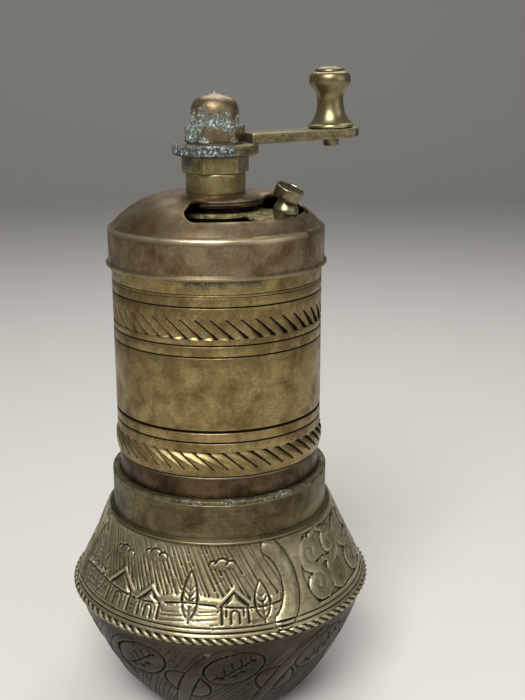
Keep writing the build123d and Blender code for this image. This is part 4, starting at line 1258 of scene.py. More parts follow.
    def make_rope(self) -> None:
        """Twists two strands of wire round the rim."""
        thick = (self.rope.top - self.rope.foot) / 2
        middle = self.rope.reach - thick
        centre = (self.rope.top + self.rope.foot) / 2
        steps = 16 * round(10 * 2 * self.rope_turns / 16)
        bm = turned(arc((middle, centre), (thick, thick), 0, 360 * 15 / 16, 15), steps)
        overlap = 0.72
        strand = thick / (1 + overlap)
        hollow = np.zeros(len(bm.verts))
        for i, vert in enumerate(bm.verts):
            azimuth = math.atan2(vert.co.y, vert.co.x)
            out = math.hypot(vert.co.x, vert.co.y) / MM - middle
            up = vert.co.z / MM - centre
            angle = math.atan2(up, out) + self.rope_turns * azimuth
            lean = abs(math.cos(angle))
            size = strand * (overlap * lean + math.sqrt(1 - (overlap * math.sin(angle)) ** 2))
            share = size / math.hypot(out, up)
            radius = middle + out * share
            vert.co = Vector((radius * math.cos(azimuth), radius * math.sin(azimuth), centre
                    + up * share)) * MM
            hollow[i] = 1.0 - 1.9 * lean
        finished(bm, "rope_rim", ROPE_BRASS, np.clip(hollow, -1, 1))

    def make_collar(self) -> None:
        """Turns the plain collar with its flange."""
        foot, top = self.neck.foot, self.neck.top
        bore = extent("spigot_sleeve").reach + 0.06
        outer = bore + self.wall
        flange = self.neck.reach
        rows = 14
        side = [(outer, foot + self.flange_height + 0.6 + (top - foot - self.flange_height - 0.6) * i / rows)
                for i in range(rows + 1)]
        profile = [(bore, foot), (flange, foot), (flange, foot + self.flange_height)] + side + [(bore, top)]
        bm = turned(supported(profile), 220)
        soften(bm, 0.12)
        finished(bm, "neck_collar", COLLAR_BRASS)

    def make_wire(self) -> None:
        """Lays the thin worn wire on the collar's edge."""
        low, high = self.neck.top, extent("neck_wire").top
        bore = extent("spigot_sleeve").reach + 0.06
        outer = bore + self.wall
        side = [(bore, low), (bore, high - 0.25), (bore + 0.35, high - 0.05), (bore + 0.8, high - 0.02)]
        side += arc((outer - 0.5, low + 0.55), (0.52, high - low - 0.57), 80, 0, 7) + [(outer, low)]
        bm = turned(side, 400)
        roughen(bm, amount=0.07, size=1.6, seed=3.0)
        finished(bm, "neck_wire", WIRE_BRASS, np.zeros(len(bm.verts)))


# ---- barrel


class Entry(Enum):
    """Which end of a cut the graver went in at."""

    TOP = "top"
    FOOT = "foot"


@dataclass(frozen=True)
class CutBand:
    """A row of slanted graver cuts round the barrel.

    Attributes:
        low: height of their lower ends above the barrel's foot.
        high: height of their upper ends.
        count: how many there are.
        start: azimuth of one upper end.
        sweep: degrees that a cut runs to the right on its way down.
        entry: the end where the graver went in.
        wall: width of a cut's steep side.
        widths: of its sloping side, at the fine end and added at the wide one.
        depths: at the fine end and added at the wide one.
        uneven: how much width and depth vary from cut to cut.
        run_out: share of the length in which the wide end comes up.
    """

    low: float
    high: float
    count: int
    start: float
    sweep: float
    entry: Entry
    wall: float = 0.14
    widths: Point = (0.3, 2.2)
    depths: Point = (0.18, 0.62)
    uneven: Point = (0.6, 0.15)
    run_out: float = 0.12

    def cut(self, azimuth: float, height: float, radius: float, seed: float) -> Point:
        """How deep the metal is cut at a place, and how dark or bright it is painted there as shade and highlight.

        Args:
            azimuth: degrees round from +X.
            height: above the barrel's foot.
            radius: of the barrel there.
            seed: shifts the unevenness of hand work.

        Returns:
            The depth in millimetres and the hollow value: painted shadow on the steep side and the deep end of the
            facet, painted highlight at its shallow end.
        """
        down = (self.high - height) / (self.high - self.low)
        if not 0.0 <= down <= 1.0:
            return 0.0, 0.0
        pitch = 360.0 / self.count
        offset = (azimuth - self.start - self.sweep * down) / pitch
        number = math.ceil(offset)
        wobble = noise.noise((number * 3.7, seed, 0.3))
        gap = (number - offset + 0.06 * wobble) * pitch * math.pi / 180 * radius
        slant = math.atan(self.sweep * math.pi / 180 * radius / (self.high - self.low))
        away = gap * math.cos(slant)
        bite = 1 - down if self.entry is Entry.TOP else down
        width = self.widths[0] + (self.widths[1] + self.uneven[0] * wobble) * bite**1.4
        deep = self.depths[0] + (self.depths[1] + self.uneven[1] * wobble) * bite
        deep *= min(1.0, (1 - bite) / self.run_out + 0.15)
        wall = self.wall
        if away < 0.0 or away > wall + width:
            return 0.0, 0.0
        # The steep side and the deep end of the facet are painted dark as the cut's shadow, and the shallow end is
        # painted bright as a highlight.
        if away < wall:
            return deep * away / wall, 1.0
        share = 1 - (away - wall) / width
        shade = 0.9 * (2.2 * share - 1.2)
        return deep * share, 1.0 if away < 2.2 * wall else bite * (shade if shade > 0 else -0.4)


@dataclass
class Barrel:
    """The grooved hopper with its sleeve, lid and the bush in the lid.

    Attributes:
        wall: of the hopper.
        grooves: heights of the grooves above the barrel's foot, each with its width.
        groove_depth: how deep they are.
        band: lower end and width of the raised band.
        band_rise: how far it stands out.
        steps: stretches round the hopper.
        upper, lower: the two rows of cuts.
        slot_start, slot_sweep: first azimuth of the filling slot, and how far it runs.
        slot_inner, slot_outer: radii of its long sides.
        slot_corner: radius of its corners.
        island_drop: how far its edge next to the bush is rolled down.
        lip_flare, lip_height: of the lid's lip.
        dome_flat: radius of the lid's level top.
        groove_drop: from the top down to the crease above the skirt.
        lid_sheet: thickness of the lid.
        bush_radius: of the bush on the lid.
        bore: radius of its hole.
        stem: radius of its stem in the lid.
        crease_rub, lip_rub, slot_rub: hollow values of the lid's worn edges, negative where bright.
        hopper, cap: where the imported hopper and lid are.
    """

    wall: float = 1.3
    grooves: tuple[Point, ...] = ((8.0, 0.5), (10.6, 0.8), (28.0, 0.45), (30.6, 0.45), (39.25, 0.45),
            (41.45, 0.25), (42.05, 0.25))
    groove_depth: float = 0.35
    band: Point = (0.1, 5.7)
    band_rise: float = 0.45
    steps: int = 928
    upper: CutBand = CutBand(32.0, 36.5, 46, -85.4, 12.0, Entry.FOOT)
    lower: CutBand = CutBand(1.6, 5.8, 47, -87.9, 10.8, Entry.TOP)
    slot_start: float = -113.0
    slot_sweep: float = 113.0
    slot_inner: float = 11.3
    slot_outer: float = 22.0
    slot_corner: float = 4.2
    island_drop: float = 1.0
    lip_flare: float = 0.6
    lip_height: float = 1.3
    dome_flat: float = 9.3
    groove_drop: float = 7.1
    lid_sheet: float = 0.7
    bush_radius: float = 7.0
    bore: float = 3.06
    stem: float = 5.0
    crease_rub: float = -0.65
    lip_rub: float = -0.4
    slot_rub: float = -0.5
    hopper: Extent = field(default_factory=lambda: extent("hopper_cylinder"))
    cap: Extent = field(default_factory=lambda: extent("lid"))

    def make(self) -> None:
        """Builds all the pieces of the barrel."""
        self.make_sleeve()
        self.make_hopper()
        self.make_lid()
        self.make_bush()
        self.make_spacer()
        for node in ("burr_pins", "bearing_bridge", "shutter_washer"):
            dress(node, TURNED_STEEL)
        for node in ("bridge_bush", "bush_ring_nut"):
            dress(node, BUSH_BRASS)
        dress("outer_burr", BURR_IRON)

    @property
    def radius(self) -> float:
        """Radius of the plain barrel."""
        return self.hopper.reach - self.band_rise

    def make_sleeve(self) -> None:
        """Turns the spigot that plugs into the neck."""
        sleeve = extent("spigot_sleeve")
        step = self.hopper.foot
        inside = sleeve.reach - 2.8
        upper = self.radius - self.wall - 0.05
        seam = 0.4
        profile = [(inside, sleeve.foot), (sleeve.reach - 0.4, sleeve.foot),
                (sleeve.reach, sleeve.foot + 0.4),
                (sleeve.reach, step - seam - 0.2), (sleeve.reach - 0.2, step - seam), (upper, step - seam),
                (upper, sleeve.top), (inside, sleeve.top)]
        bm = turned(supported(profile), 200)
        finished(bm, "spigot_sleeve", SPIGOT_BRASS)

    def outer_side(self) -> list[Point]:
        """Profile of the hopper's outside from its foot to its top, grooves included."""
        radius, foot = self.radius, self.hopper.foot
        low, width = self.band
        marks = {0.0: 0.0, self.hopper.top - foot: 0.0, 15.0: 0.0, 20.0: 0.0, 24.0: 0.0, 46.0: 0.0}
        fine = 0.2
        count = round(width / fine)
        for i in range(count + 1):
            marks[low + width * i / count] = self.band_rise * (1 - (2 * i / count - 1) ** 2)
        count = round((self.upper.high - self.upper.low + 0.4) / fine)
        for i in range(count + 1):
            marks[self.upper.low - 0.2 + fine * i] = 0.0
        for height, wide in self.grooves:
            for share, deep in ((-0.62, 0.0), (-0.5, -0.06), (-0.2, -1.0), (0.2, -1.0), (0.5, -0.06),
                    (0.62, 0.0)):
                marks[height + share * wide] = deep * self.groove_depth * min(1.0, wide / 0.6)
        return [(radius + rise, foot + height) for height, rise in sorted(marks.items())]

    def make_hopper(self) -> None:
        """Turns the hopper, its grooves and raised band, and cuts the two bands of graver strokes."""
        foot, top, radius = self.hopper.foot, self.hopper.top, self.radius
        bore = radius - self.wall
        bm = turned(self.outer_side() + [(bore, top), (bore, foot)], self.steps)
        hollow = np.zeros(len(bm.verts))
        for i, vert in enumerate(bm.verts):
            reach = math.hypot(vert.co.x, vert.co.y) / MM
            height = vert.co.z / MM - foot
            if reach < radius - self.groove_depth - 0.1:
                continue
            azimuth = math.degrees(math.atan2(vert.co.y, vert.co.x))
            # The cuts give painted shadow on their steep sides and painted highlight on their shallow facets; the
            # grooves give grime.
            cut, cut_shade_and_highlight = max(self.upper.cut(azimuth, height, reach, 1.0),
                    self.lower.cut(azimuth, height, reach, 5.0))
            if cut:
                share = (reach - cut) / reach
                vert.co.x *= share
                vert.co.y *= share
                hollow[i] = cut_shade_and_highlight
            else:
                hollow[i] = min(1.0, 1.1 * max(0.0, radius - reach) / self.groove_depth)
        finished(bm, "hopper_cylinder", BARREL_BRASS, hollow)

    def make_lid(self) -> None:
        """Presses the lid: dome, crease, skirt with a flared lip, and the filling slot."""
        top, foot, lip = self.cap.top, self.cap.foot, self.cap.reach
        outer = lip - self.lip_flare
        skirt_inner = self.radius + 0.05
        rim, crease = self.radius - 0.2, top - self.groove_drop
        barrel_top = self.hopper.top
        curve = bezier((self.dome_flat, top), (self.dome_flat + 6.2, top), (rim - 4.3, crease + 4.8),
                (rim, crease), 60)
        radii = [self.stem + 0.05] + [self.dome_flat - 1.5 + 0.42 * i for i in range(41)]
        heights = [float(np.interp(r, [c[0] for c in curve], [c[1] for c in curve])) for r in radii]
        dome = list(zip(radii, heights))
        under = [(r, z - self.lid_sheet) for r, z in dome]
        skirt = [(outer, crease - 0.7 - (crease - 0.7 - foot - self.lip_height) * i / 6) for i in range(7)]
        profile = dome + [(rim, crease), (outer - 0.25, crease - 0.25)] + skirt
        profile += [(lip, foot + self.lip_height / 2), (lip, foot + 0.25), (lip - 0.25, foot)]
        profile += [(skirt_inner, foot), (skirt_inner, barrel_top), (rim - 0.5, barrel_top)]
        profile += [(rim - 0.5, crease)] + under[::-1]
        bm = turned(profile, 360)
        rim_verts = self.open_slot(bm, dome)
        roughen(bm, amount=0.06, size=9.0, seed=2.0)
        bead = turned(arc((self.slot_inner - 0.55, top - self.lid_sheet - self.island_drop - 0.1),
                (0.6, 0.75),
                0, 360 * 15 / 16, 15), 80, sweep=self.slot_sweep - 6, start=self.slot_start + 3)
        bm.verts.index_update()
        hollow = np.zeros(len(bm.verts) + len(bead.verts))
        for i, vert in enumerate(bm.verts):
            reach, height = math.hypot(vert.co.x, vert.co.y) / MM, vert.co.z / MM
            near_crease = abs(reach - outer + 0.15) < 0.3 and abs(height - crease + 0.45) < 0.45
            near_lip = reach > lip - 0.1
            hollow[i] = self.crease_rub if near_crease else (self.lip_rub if near_lip else 0.0)
        hollow[rim_verts] = self.slot_rub
        finished(merged(bm, bead), "lid", LID_BRASS, hollow, crease=40.0)

    def slot_outline(self) -> np.ndarray:
        """Points round the filling slot, whose ends are rounded."""
        corner = self.slot_corner
        points = []
        for radius, hand in ((self.slot_outer, 1), (self.slot_inner, -1)):
            centre = radius - hand * corner
            inset = math.degrees(math.asin(corner / centre))
            first = self.slot_start + inset
            last = self.slot_start + self.slot_sweep - inset
            span = np.linspace(first, last, 120) if hand > 0 else np.linspace(last, first, 120)
            side = [(radius * math.cos(math.radians(a)), radius * math.sin(math.radians(a))) for a in span]
            turn = np.linspace(0, 90, 14)
            for azimuth, ahead in ((span[0], False), (span[-1], True)):
                middle = (centre * math.cos(math.radians(azimuth)), centre * math.sin(math.radians(azimuth)))
                angles = azimuth + (0 if hand > 0 else 180) + (turn if ahead else turn - 90)
                bend = [(middle[0] + corner * math.cos(math.radians(a)), middle[1]
                        + corner * math.sin(math.radians(a)))
                        for a in angles]
                side = side + bend if ahead else bend + side
            points += side
        return np.array(points)

    def open_slot(self, bm: bmesh.types.BMesh, dome: Sequence[Point]) -> list[int]:
        """Opens the filling slot in the turned lid and rolls the island's edge down.

        Args:
            bm: the lid.
            dome: the dome's outer profile.

        Returns:
            Indices of the vertices on the slot's upper edge.
        """
        outline = self.slot_outline()
        inside = in_polygon([tuple(p) for p in outline])
        crown = dome[0][1] - 4.0
        doomed = [f for f in bm.faces if f.calc_center_median().z / MM > crown
                and inside(f.calc_center_median().x / MM, f.calc_center_median().y / MM)
                and abs(f.normal.z) > 0.3]
        bmesh.ops.delete(bm, geom=doomed, context="FACES")
        loose = [v for v in bm.verts if not v.link_faces]
        bmesh.ops.delete(bm, geom=loose, context="VERTS")
        rims = [e for e in bm.edges if e.is_boundary]
        radii, heights = [d[0] for d in dome], [d[1] for d in dome]
        upper = set()
        for vert in {v for e in rims for v in e.verts}:
            place = np.array(vert.co[:2]) / MM
            high = np.interp(np.hypot(*place), radii, heights)
            on_top = vert.co.z / MM > high - self.lid_sheet / 2
            near = outline[np.argmin(np.hypot(*(outline - place).T))]
            height = np.interp(np.hypot(*near), radii, heights) - (0 if on_top else self.lid_sheet)
            vert.co = Vector((near[0], near[1], height)) * MM
            if on_top:
                upper.add(vert)
        edge = [e for e in rims if all(v in upper for v in e.verts)]
        lower = [e for e in rims if e not in edge]
        made = bmesh.ops.extrude_edge_only(bm, edges=edge)["geom"]
        for vert in (v for v in made if isinstance(v, bmesh.types.BMVert)):
            place = np.array(vert.co[:2]) / MM
            k = int(np.argmin(np.hypot(*(outline - place).T)))
            along = outline[(k + 1) % len(outline)] - outline[k - 1]
            into = np.array([-along[1], along[0]]) / max(np.hypot(*along), 1e-6)
            place = place + 0.14 * into
            vert.co = Vector((place[0], place[1], vert.co.z / MM - 0.16)) * MM
        wall = [e for e in made if isinstance(e, bmesh.types.BMEdge)]
        bmesh.ops.bridge_loops(bm, edges=wall + lower)
        for vert in bm.verts:
            reach = math.hypot(vert.co.x, vert.co.y) / MM
            azimuth = math.degrees(math.atan2(vert.co.y, vert.co.x))
            if vert.co.z / MM > crown and self.stem + 1 < reach < self.slot_inner + 2.0:
                ends = min(azimuth - self.slot_start, self.slot_start + self.slot_sweep - azimuth)
                fade = min(1.0, max(0.0, (ends + 4.0) / 22.0))
                share = min(1.0, max(0.0, (reach - self.dome_flat + 0.8) / (self.slot_inner - self.dome_flat
                        + 0.8)))
                vert.co.z -= self.island_drop * fade * fade * (3 - 2 * fade) * share * share * MM
        bmesh.ops.recalc_face_normals(bm, faces=bm.faces)
        bm.verts.index_update()
        return [v.index for v in upper if v.is_valid]

    def make_bush(self) -> None:
        """Turns the round bush that stands on the lid."""
        bush = extent("collar_bush")
        crown = self.cap.top
        profile = [(self.bore, bush.foot), (self.stem, bush.foot), (self.stem, crown),
                (self.bush_radius, crown), (self.bush_radius, bush.top), (self.bore, bush.top)]
        bm = turned(supported(profile), 120)
        soften(bm, 0.22)
        finished(bm, "collar_bush", BUSH_BRASS)

    def make_spacer(self) -> None:
        """Turns the ring between the lid and the shutter, whose dark colour is partly painted shade."""
        ring = extent("shutter_spacer")
        profile = [(self.stem + 0.05, ring.foot), (ring.reach, ring.foot), (ring.reach, ring.top),
                (self.stem + 0.05, ring.top)]
        bm = turned(supported(profile), 120)
        soften(bm, 0.2)
        finished(bm, "shutter_spacer", SHADED_SPACER_BRASS)


def dress(node: str, finish: MetalFinish) -> None:
    """Gives a CAD node that is shown as it is its finish.

    Args:
        node: the node's name.
        finish: its finish.
    """
    shown = frame["nodes"][node]
    shown.data.materials.clear()
    shown.data.materials.append(finish.material())
    log.info("%s: packed shape, %s", node, finish.name)


# ---- shutter


def leaning(out: Vector, degrees: float) -> Vector:
    """A direction that leans from upright towards another, by some degrees."""
    return out * math.sin(math.radians(degrees)) + Vector((0, 0, math.cos(math.radians(degrees))))


@dataclass
class Shutter:
    """The blade under the slot and the knob that moves it.

    Attributes:
        hub_radius: of the hub.
        hub_thickness: of the hub.
        stem: radius of the hub's hole.
        reach: of the blade.
        thickness: of the blade.
        slope: degrees that the blade falls outwards.
        start: azimuth of its leading edge.
        sweep: degrees that it spans.
        knob_azimuth: where the knob stands.
        knob_radius: how far from the axis.
        knob_lean: degrees that its stem leans outwards.
        head_lean: degrees that its head leans.
        head_start: height of the head above the blade.
        head_radius, head_thickness: of the head.
        bulb, neck, foot: radius and height of the knob's widest, narrowest and lowest parts.
        dish, rim: depth of the head's dish, and width of the rim round it.
        ragged: degrees that the leading edge strays.
        bulb_painted_highlight: hollow value of the bulb, negative so that it is painted bright, for hand polish
            and as a painted highlight.
        hub_top: height of the hub's upper face.
    """

    hub_radius: float = 10.5
    hub_thickness: float = 0.9
    stem: float = 5.06
    reach: float = 22.6
    thickness: float = 0.6
    slope: float = 10.5
    start: float = -55.0
    sweep: float = 128.0
    knob_azimuth: float = -31.0
    knob_radius: float = 18.2
    knob_lean: float = 5.0
    head_lean: float = 23.5
    head_start: float = 5.1
    head_radius: float = 3.3
    head_thickness: float = 2.6
    bulb: Point = (2.95, 2.3)
    neck: Point = (1.95, 4.7)
    foot: Point = (1.77, 0.12)
    dish: float = 0.35
    rim: float = 0.45
    ragged: float = 2.4
    bulb_painted_highlight: float = -0.45
    hub_top: float = field(default_factory=lambda: extent("shutter_spacer").foot - 0.05)

    def make(self) -> None:
        """Builds the blade and the knob."""
        self.make_plate()
        self.make_knob()

    def top_at(self, radius: float) -> float:
        """Height of the blade's upper face at a radius."""
        return self.hub_top - max(0.0, radius - self.hub_radius) * math.tan(math.radians(self.slope))

    def make_plate(self) -> None:
        """Makes the hub and the blade, whose leading edge is ragged with dried seed and oil."""
        low = self.hub_top - self.hub_thickness
        hub = turned([(self.stem, low), (self.hub_radius, low), (self.hub_radius, self.hub_top),
                (self.stem, self.hub_top)], 120)
        root = self.hub_radius - 1.5
        radii = [root, self.hub_radius] + [self.hub_radius + (self.reach - self.hub_radius) * i / 22
                for i in range(1, 23)]
        upper = [(r, self.top_at(r)) for r in radii]
        lower = [(r, self.top_at(r) - self.thickness) for r in reversed(radii)]
        blade = turned(upper + lower, 120, sweep=self.sweep, start=self.start)
        for vert in blade.verts:
            azimuth = math.degrees(math.atan2(vert.co.y, vert.co.x))
            radius = math.hypot(vert.co.x, vert.co.y) / MM
            if azimuth < self.start + 0.5 and radius > self.hub_radius + 0.3:
                ragged = self.ragged * (noise.noise((radius * 0.9, 2.0, 0.0))
                        + 0.5 * noise.noise((radius * 2.3, 5.0, 0.0)))
                turn = math.radians(azimuth + max(0.0, 1.2 + ragged))
                vert.co.x, vert.co.y = radius * MM * math.cos(turn), radius * MM * math.sin(turn)
        bm = joined(hub, blade)
        soften(bm, 0.12, sharper=50.0)
        roughen(bm, amount=0.03, size=1.1, seed=4.0)
        finished(bm, "shutter_plate", SHUTTER_BRASS, np.zeros(len(bm.verts)))

    def make_knob(self) -> None:
        """Turns the knob's bulb and neck, and sets the tilted dished head on it."""
        out = Vector((math.cos(math.radians(self.knob_azimuth)), math.sin(math.radians(self.knob_azimuth)),
                0))
        base = out * self.knob_radius + Vector((0, 0, self.top_at(self.knob_radius)))
        stem_up, head_up = leaning(out, self.knob_lean), leaning(out, self.head_lean)
        tail = self.thickness + self.foot[1]
        side = bezier(self.foot, (self.foot[0] + 0.9, self.foot[1] + 0.1), (self.bulb[0], self.bulb[1] - 0.8),
                self.bulb, 8)
        side += bezier(self.bulb, (self.bulb[0], self.bulb[1] + 0.9), (self.neck[0], self.neck[1] - 0.9),
                self.neck, 8)[1:]
        profile = [(0, -tail - 0.5), (1.9, -tail - 0.5), (1.9, -tail), (1.2, -tail), (1.2, self.foot[1])]
        profile += side + [(self.neck[0], self.head_start + 0.6), (0, self.head_start + 0.6)]
        body = turned(profile, 48, closed=False)
        head = turned([(0, 0), (self.head_radius, 0), (self.head_radius, self.head_thickness),
                (self.head_radius - self.rim, self.head_thickness),
                (self.head_radius - self.rim - 0.15, self.head_thickness - self.dish),
                (0, self.head_thickness - self.dish)], 64, closed=False)
        soften(head, 0.12, sharper=40.0)
        for part, foot, up in ((body, base, stem_up), (head, base + stem_up * self.head_start, head_up)):
            turn = up.to_track_quat("Z", "Y").to_matrix().to_4x4()
            bmesh.ops.transform(part, matrix=Matrix.Translation(foot * MM) @ turn, verts=part.verts)
        bm = joined(body, head)
        hollow = edge_hollows(bm)
        # The bulb is painted bright with the edge-wear colour, for hand polish and as a painted highlight.
        for vert in bm.verts:
            if (vert.co / MM - base).dot(stem_up) < self.neck[1] - 0.6:
                hollow[vert.index] = self.bulb_painted_highlight
        finished(bm, "shutter_knob", KNOB_BRASS, hollow)


# ---- crank and handle


def handle_axis() -> tuple[Vector, Vector]:
    """Where the handle's rivet leaves the arm, in millimetres, and its direction."""
    joint = next(j for j in frame["joints"] if j["name"] == "handle_spin")
    return Vector(joint["pos_m"]) / MM, Vector(joint["axis"]).normalized()


@dataclass
class Crank:
    """The eye and arm, the nuts that hold them and the rivet of the handle.

    Attributes:
        nut_flats: of the nut under the eye.
        cap_flats: of the domed nut.
        hex_turn: azimuth of one corner of both nuts.
        bore: radius of the nuts' holes.
        eye_radius, eye_thickness: of the eye.
        square: half the width of its square hole.
        arm_root: where the arm starts, from the shaft's axis.
        arm_widths: at the root and at the tip.
        arm_thickness: of the arm.
        arm_corner: radius of the tip's corners.
        overhang: of the tip beyond the handle's axis.
        cap_hex_height: of the domed nut's hexagon.
        dome_radius, tip_height: of its dome and its tip.
        rivet_radius: of the rivet.
        rivet_foot, rivet_cap: radius and height of its two ends.
        handle_height, play: of the handle, and between it and the arm.
    """

    nut_flats: float = 13.9
    cap_flats: float = 12.3
    hex_turn: float = 10.0
    bore: float = 3.06
    eye_radius: float = 10.05
    eye_thickness: float = 2.6
    square: float = 2.51
    arm_root: float = 7.7
    arm_widths: Point = (8.6, 10.4)
    arm_thickness: float = 2.25
    arm_corner: float = 4.3
    overhang: float = 6.5
    cap_hex_height: float = 3.7
    dome_radius: float = 5.6
    tip_height: float = 1.0
    rivet_radius: float = 1.5
    rivet_foot: Point = (1.95, 1.9)
    rivet_cap: Point = (3.5, 1.05)
    handle_height: float = 13.0
    play: float = 0.15

    def make(self) -> None:
        """Builds the crank's pieces."""
        self.make_nut()
        self.make_arm()
        self.make_cap()
        self.make_rivet()
        dress("cap_washer", CRANK_BRASS)

    def make_nut(self) -> None:
        """Makes the hexagon under the eye."""
        nut = extent("adjusting_nut")
        bm = hexagon_nut(self.nut_flats, self.hex_turn, self.bore, nut.foot, nut.top)
        self.add_rows(bm, (nut.foot + 0.6, nut.top - 0.6))
        soften(bm, 0.2)
        finished(bm, "adjusting_nut", NUT_BRASS)

    def add_rows(self, bm: bmesh.types.BMesh, heights: Sequence[float]) -> None:
        """Divides a mesh at some heights, so that edge wear stays at the edges."""
        for height in heights:
            bmesh.ops.bisect_plane(bm, geom=bm.verts[:] + bm.edges[:] + bm.faces[:],
                    plane_co=(0, 0, height * MM), plane_no=(0, 0, 1), dist=MERGE)

    def make_arm(self) -> None:
        """Casts the eye and the arm in one."""
        low = extent("adjusting_nut").top
        high = low + self.eye_thickness
        seat, up = handle_axis()
        out = Vector((seat.x, seat.y, 0)).normalized()
        along = (out - up * out.dot(up)).normalized()
        side = up.cross(along)
        length = math.hypot(seat.x, seat.y)
        place = Matrix((along, side, up)).transposed().to_4x4()
        place.translation = (seat - up * self.arm_thickness - along * length) * MM

        square = self.square
        eye = turned(supported([(square, low), (self.eye_radius, low), (self.eye_radius, high),
                (square, high)], reach=0.8), 96)
        soften(eye, 0.65, segments=4)
        arm = bmesh.new()
        bmesh.ops.create_cube(arm, size=1.0)
        tip = length + self.overhang
        for vert in arm.verts:
            end = vert.co.x > 0
            reach = tip if end else self.arm_root
            half = self.arm_widths[1 if end else 0] / 2
            rise = self.arm_thickness if vert.co.z > 0 else (0.0 if end else -0.35)
            vert.co = Vector((reach, math.copysign(half, vert.co.y), rise)) * MM
        uprights = [e for e in arm.edges
                if all(v.co.x > 0.9 * tip * MM for v in e.verts)
                and abs(e.verts[0].co.z - e.verts[1].co.z) > MM]
        bmesh.ops.bevel(arm, geom=uprights, offset=self.arm_corner * MM, offset_type="OFFSET", segments=10,
                profile=0.5, affect="EDGES", clamp_overlap=True, material=-1)
        for x in range(9, 35, 1):
            bmesh.ops.bisect_plane(arm, geom=arm.verts[:] + arm.edges[:] + arm.faces[:],
                    plane_co=(x * MM, 0, 0), plane_no=(1, 0, 0), dist=MERGE)
        for y in (-3, -1.5, 0, 1.5, 3):
            bmesh.ops.bisect_plane(arm, geom=arm.verts[:] + arm.edges[:] + arm.faces[:],
                    plane_co=(0, y * MM, 0), plane_no=(0, 1, 0), dist=MERGE)
        soften(arm, 0.38, segments=3, sharper=40.0)
        roughen(arm, amount=0.1, size=3.4, seed=8.0)
        bmesh.ops.transform(arm, matrix=place, verts=arm.verts)
        tidy(arm)
        bm = joined(eye, arm)
        finished(bm, "crank_arm", CRANK_BRASS)

    def make_cap(self) -> None:
        """Makes the domed nut: hexagon, dome and the small tip."""
        cap = extent("cap_nut")
        hex_top = cap.foot + self.cap_hex_height
        shoulder = cap.top - self.tip_height
        radius = self.dome_radius
        side = [(radius, hex_top), (radius, hex_top + 1.1)]
        side += bezier((radius, hex_top + 2.2), (radius, hex_top + 4.9), (0.88 * radius, shoulder - 0.4),
                (0.46 * radius, shoulder + 0.15), 18)
        side += [(0.85, cap.top - 0.42), (0.42, cap.top - 0.32), (0.32, cap.top - 0.05), (0.0, cap.top)]
        bm = turned(side, 48, closed=False)
        foot_ring = [e for e in bm.edges if e.is_boundary]
        hexagon = hexagon_ring(bm, self.cap_flats, self.hex_turn, hex_top, 8)
        bmesh.ops.bridge_loops(bm, edges=foot_ring + hexagon)
        wall = bmesh.ops.extrude_edge_only(bm, edges=hexagon)["geom"]
        bmesh.ops.translate(bm, vec=(0, 0, (cap.foot - hex_top) * MM),
                verts=[v for v in wall if isinstance(v, bmesh.types.BMVert)])
        bmesh.ops.holes_fill(bm, edges=[e for e in wall if isinstance(e, bmesh.types.BMEdge)], sides=0)
        tidy(bm)
        self.add_rows(bm, (cap.foot + 0.6, cap.foot + 1.3, cap.foot + 2.2, hex_top - 0.6))
        soften(bm, 0.2, sharper=40.0, where=lambda p: p.z < hex_top + 0.1 and math.hypot(p.x, p.y) > radius
               + 0.2)
        roughen(bm, amount=0.05, size=1.4, seed=6.0)
        finished(bm, "cap_nut", CAP_BRASS)

    def make_rivet(self) -> None:
        """Makes the rivet on which the handle turns."""
        seat, up = handle_axis()
        foot, cap = self.rivet_foot, self.rivet_cap
        below = -self.arm_thickness
        head = self.play + self.handle_height + 0.03
        profile = [(0, below - foot[1]), (foot[0] - 0.3, below - foot[1]), (foot[0], below - foot[1] + 0.3),
                (foot[0] - 0.1, below), (self.rivet_radius, below), (self.rivet_radius, head),
                (cap[0], head)]
        profile += arc((0.1, head), (cap[0] - 0.1, cap[1] + 0.1), 0, 90, 12) + [(0, head + cap[1] + 0.1)]
        bm = turned(profile, 48, closed=False)
        roughen(bm, amount=0.03, size=1.4, seed=3.0)
        turn = up.to_track_quat("Z", "Y").to_matrix().to_4x4()
        bmesh.ops.transform(bm, matrix=Matrix.Translation(seat * MM) @ turn, verts=bm.verts)
        finished(bm, "handle_rivet", RIVET_BRASS)


@dataclass
class Handle:
    """The turned knob in the hand.

    Attributes:
        height: of the knob.
        base: radius and height of its foot ring.
        base_round: round of that ring's edge.
        neck: radius and height of its waist.
        head: radius and height of its widest part above the waist.
        top: radius of the level ring round the rivet.
        bore: radius of its bore.
        play: between the knob and the arm.
    """

    height: float = 13.0
    base: Point = (5.45, 0.8)
    base_round: float = 0.3
    neck: Point = (3.1, 6.6)
    head: Point = (4.95, 10.9)
    top: float = 2.23
    bore: float = 1.56
    play: float = 0.15

    def make(self) -> None:
        """Turns the knob on its own axis."""
        flat = self.base[0] - self.base_round
        profile = [(self.bore, 0.0)] + arc((flat, self.base[1] / 2), (self.base_round, self.base[1] / 2), -90,
                90, 8)
        profile += bezier((flat, self.base[1]), (self.neck[0] + 0.5, self.base[1] + 1.5),
                (self.neck[0], self.neck[1] - 2.4), self.neck, 16)[1:]
        profile += bezier(self.neck, (self.neck[0], self.neck[1] + 2.0), (self.head[0], self.head[1] - 1.7),
                self.head, 14)[1:]
        profile += bezier(self.head, (self.head[0], self.head[1] + 1.5), (self.head[0] - 0.7, self.height),
                (self.top, self.height), 14)[1:]
        profile += [(self.bore, self.height)]
        bm = turned(profile, 96)
        seat, up = handle_axis()
        turn = up.to_track_quat("Z", "Y").to_matrix().to_4x4()
        bmesh.ops.transform(bm, matrix=Matrix.Translation((seat + up * self.play) * MM) @ turn,
                verts=bm.verts)
        finished(bm, "handle_knob", HANDLE_BRASS)


# ---- studio


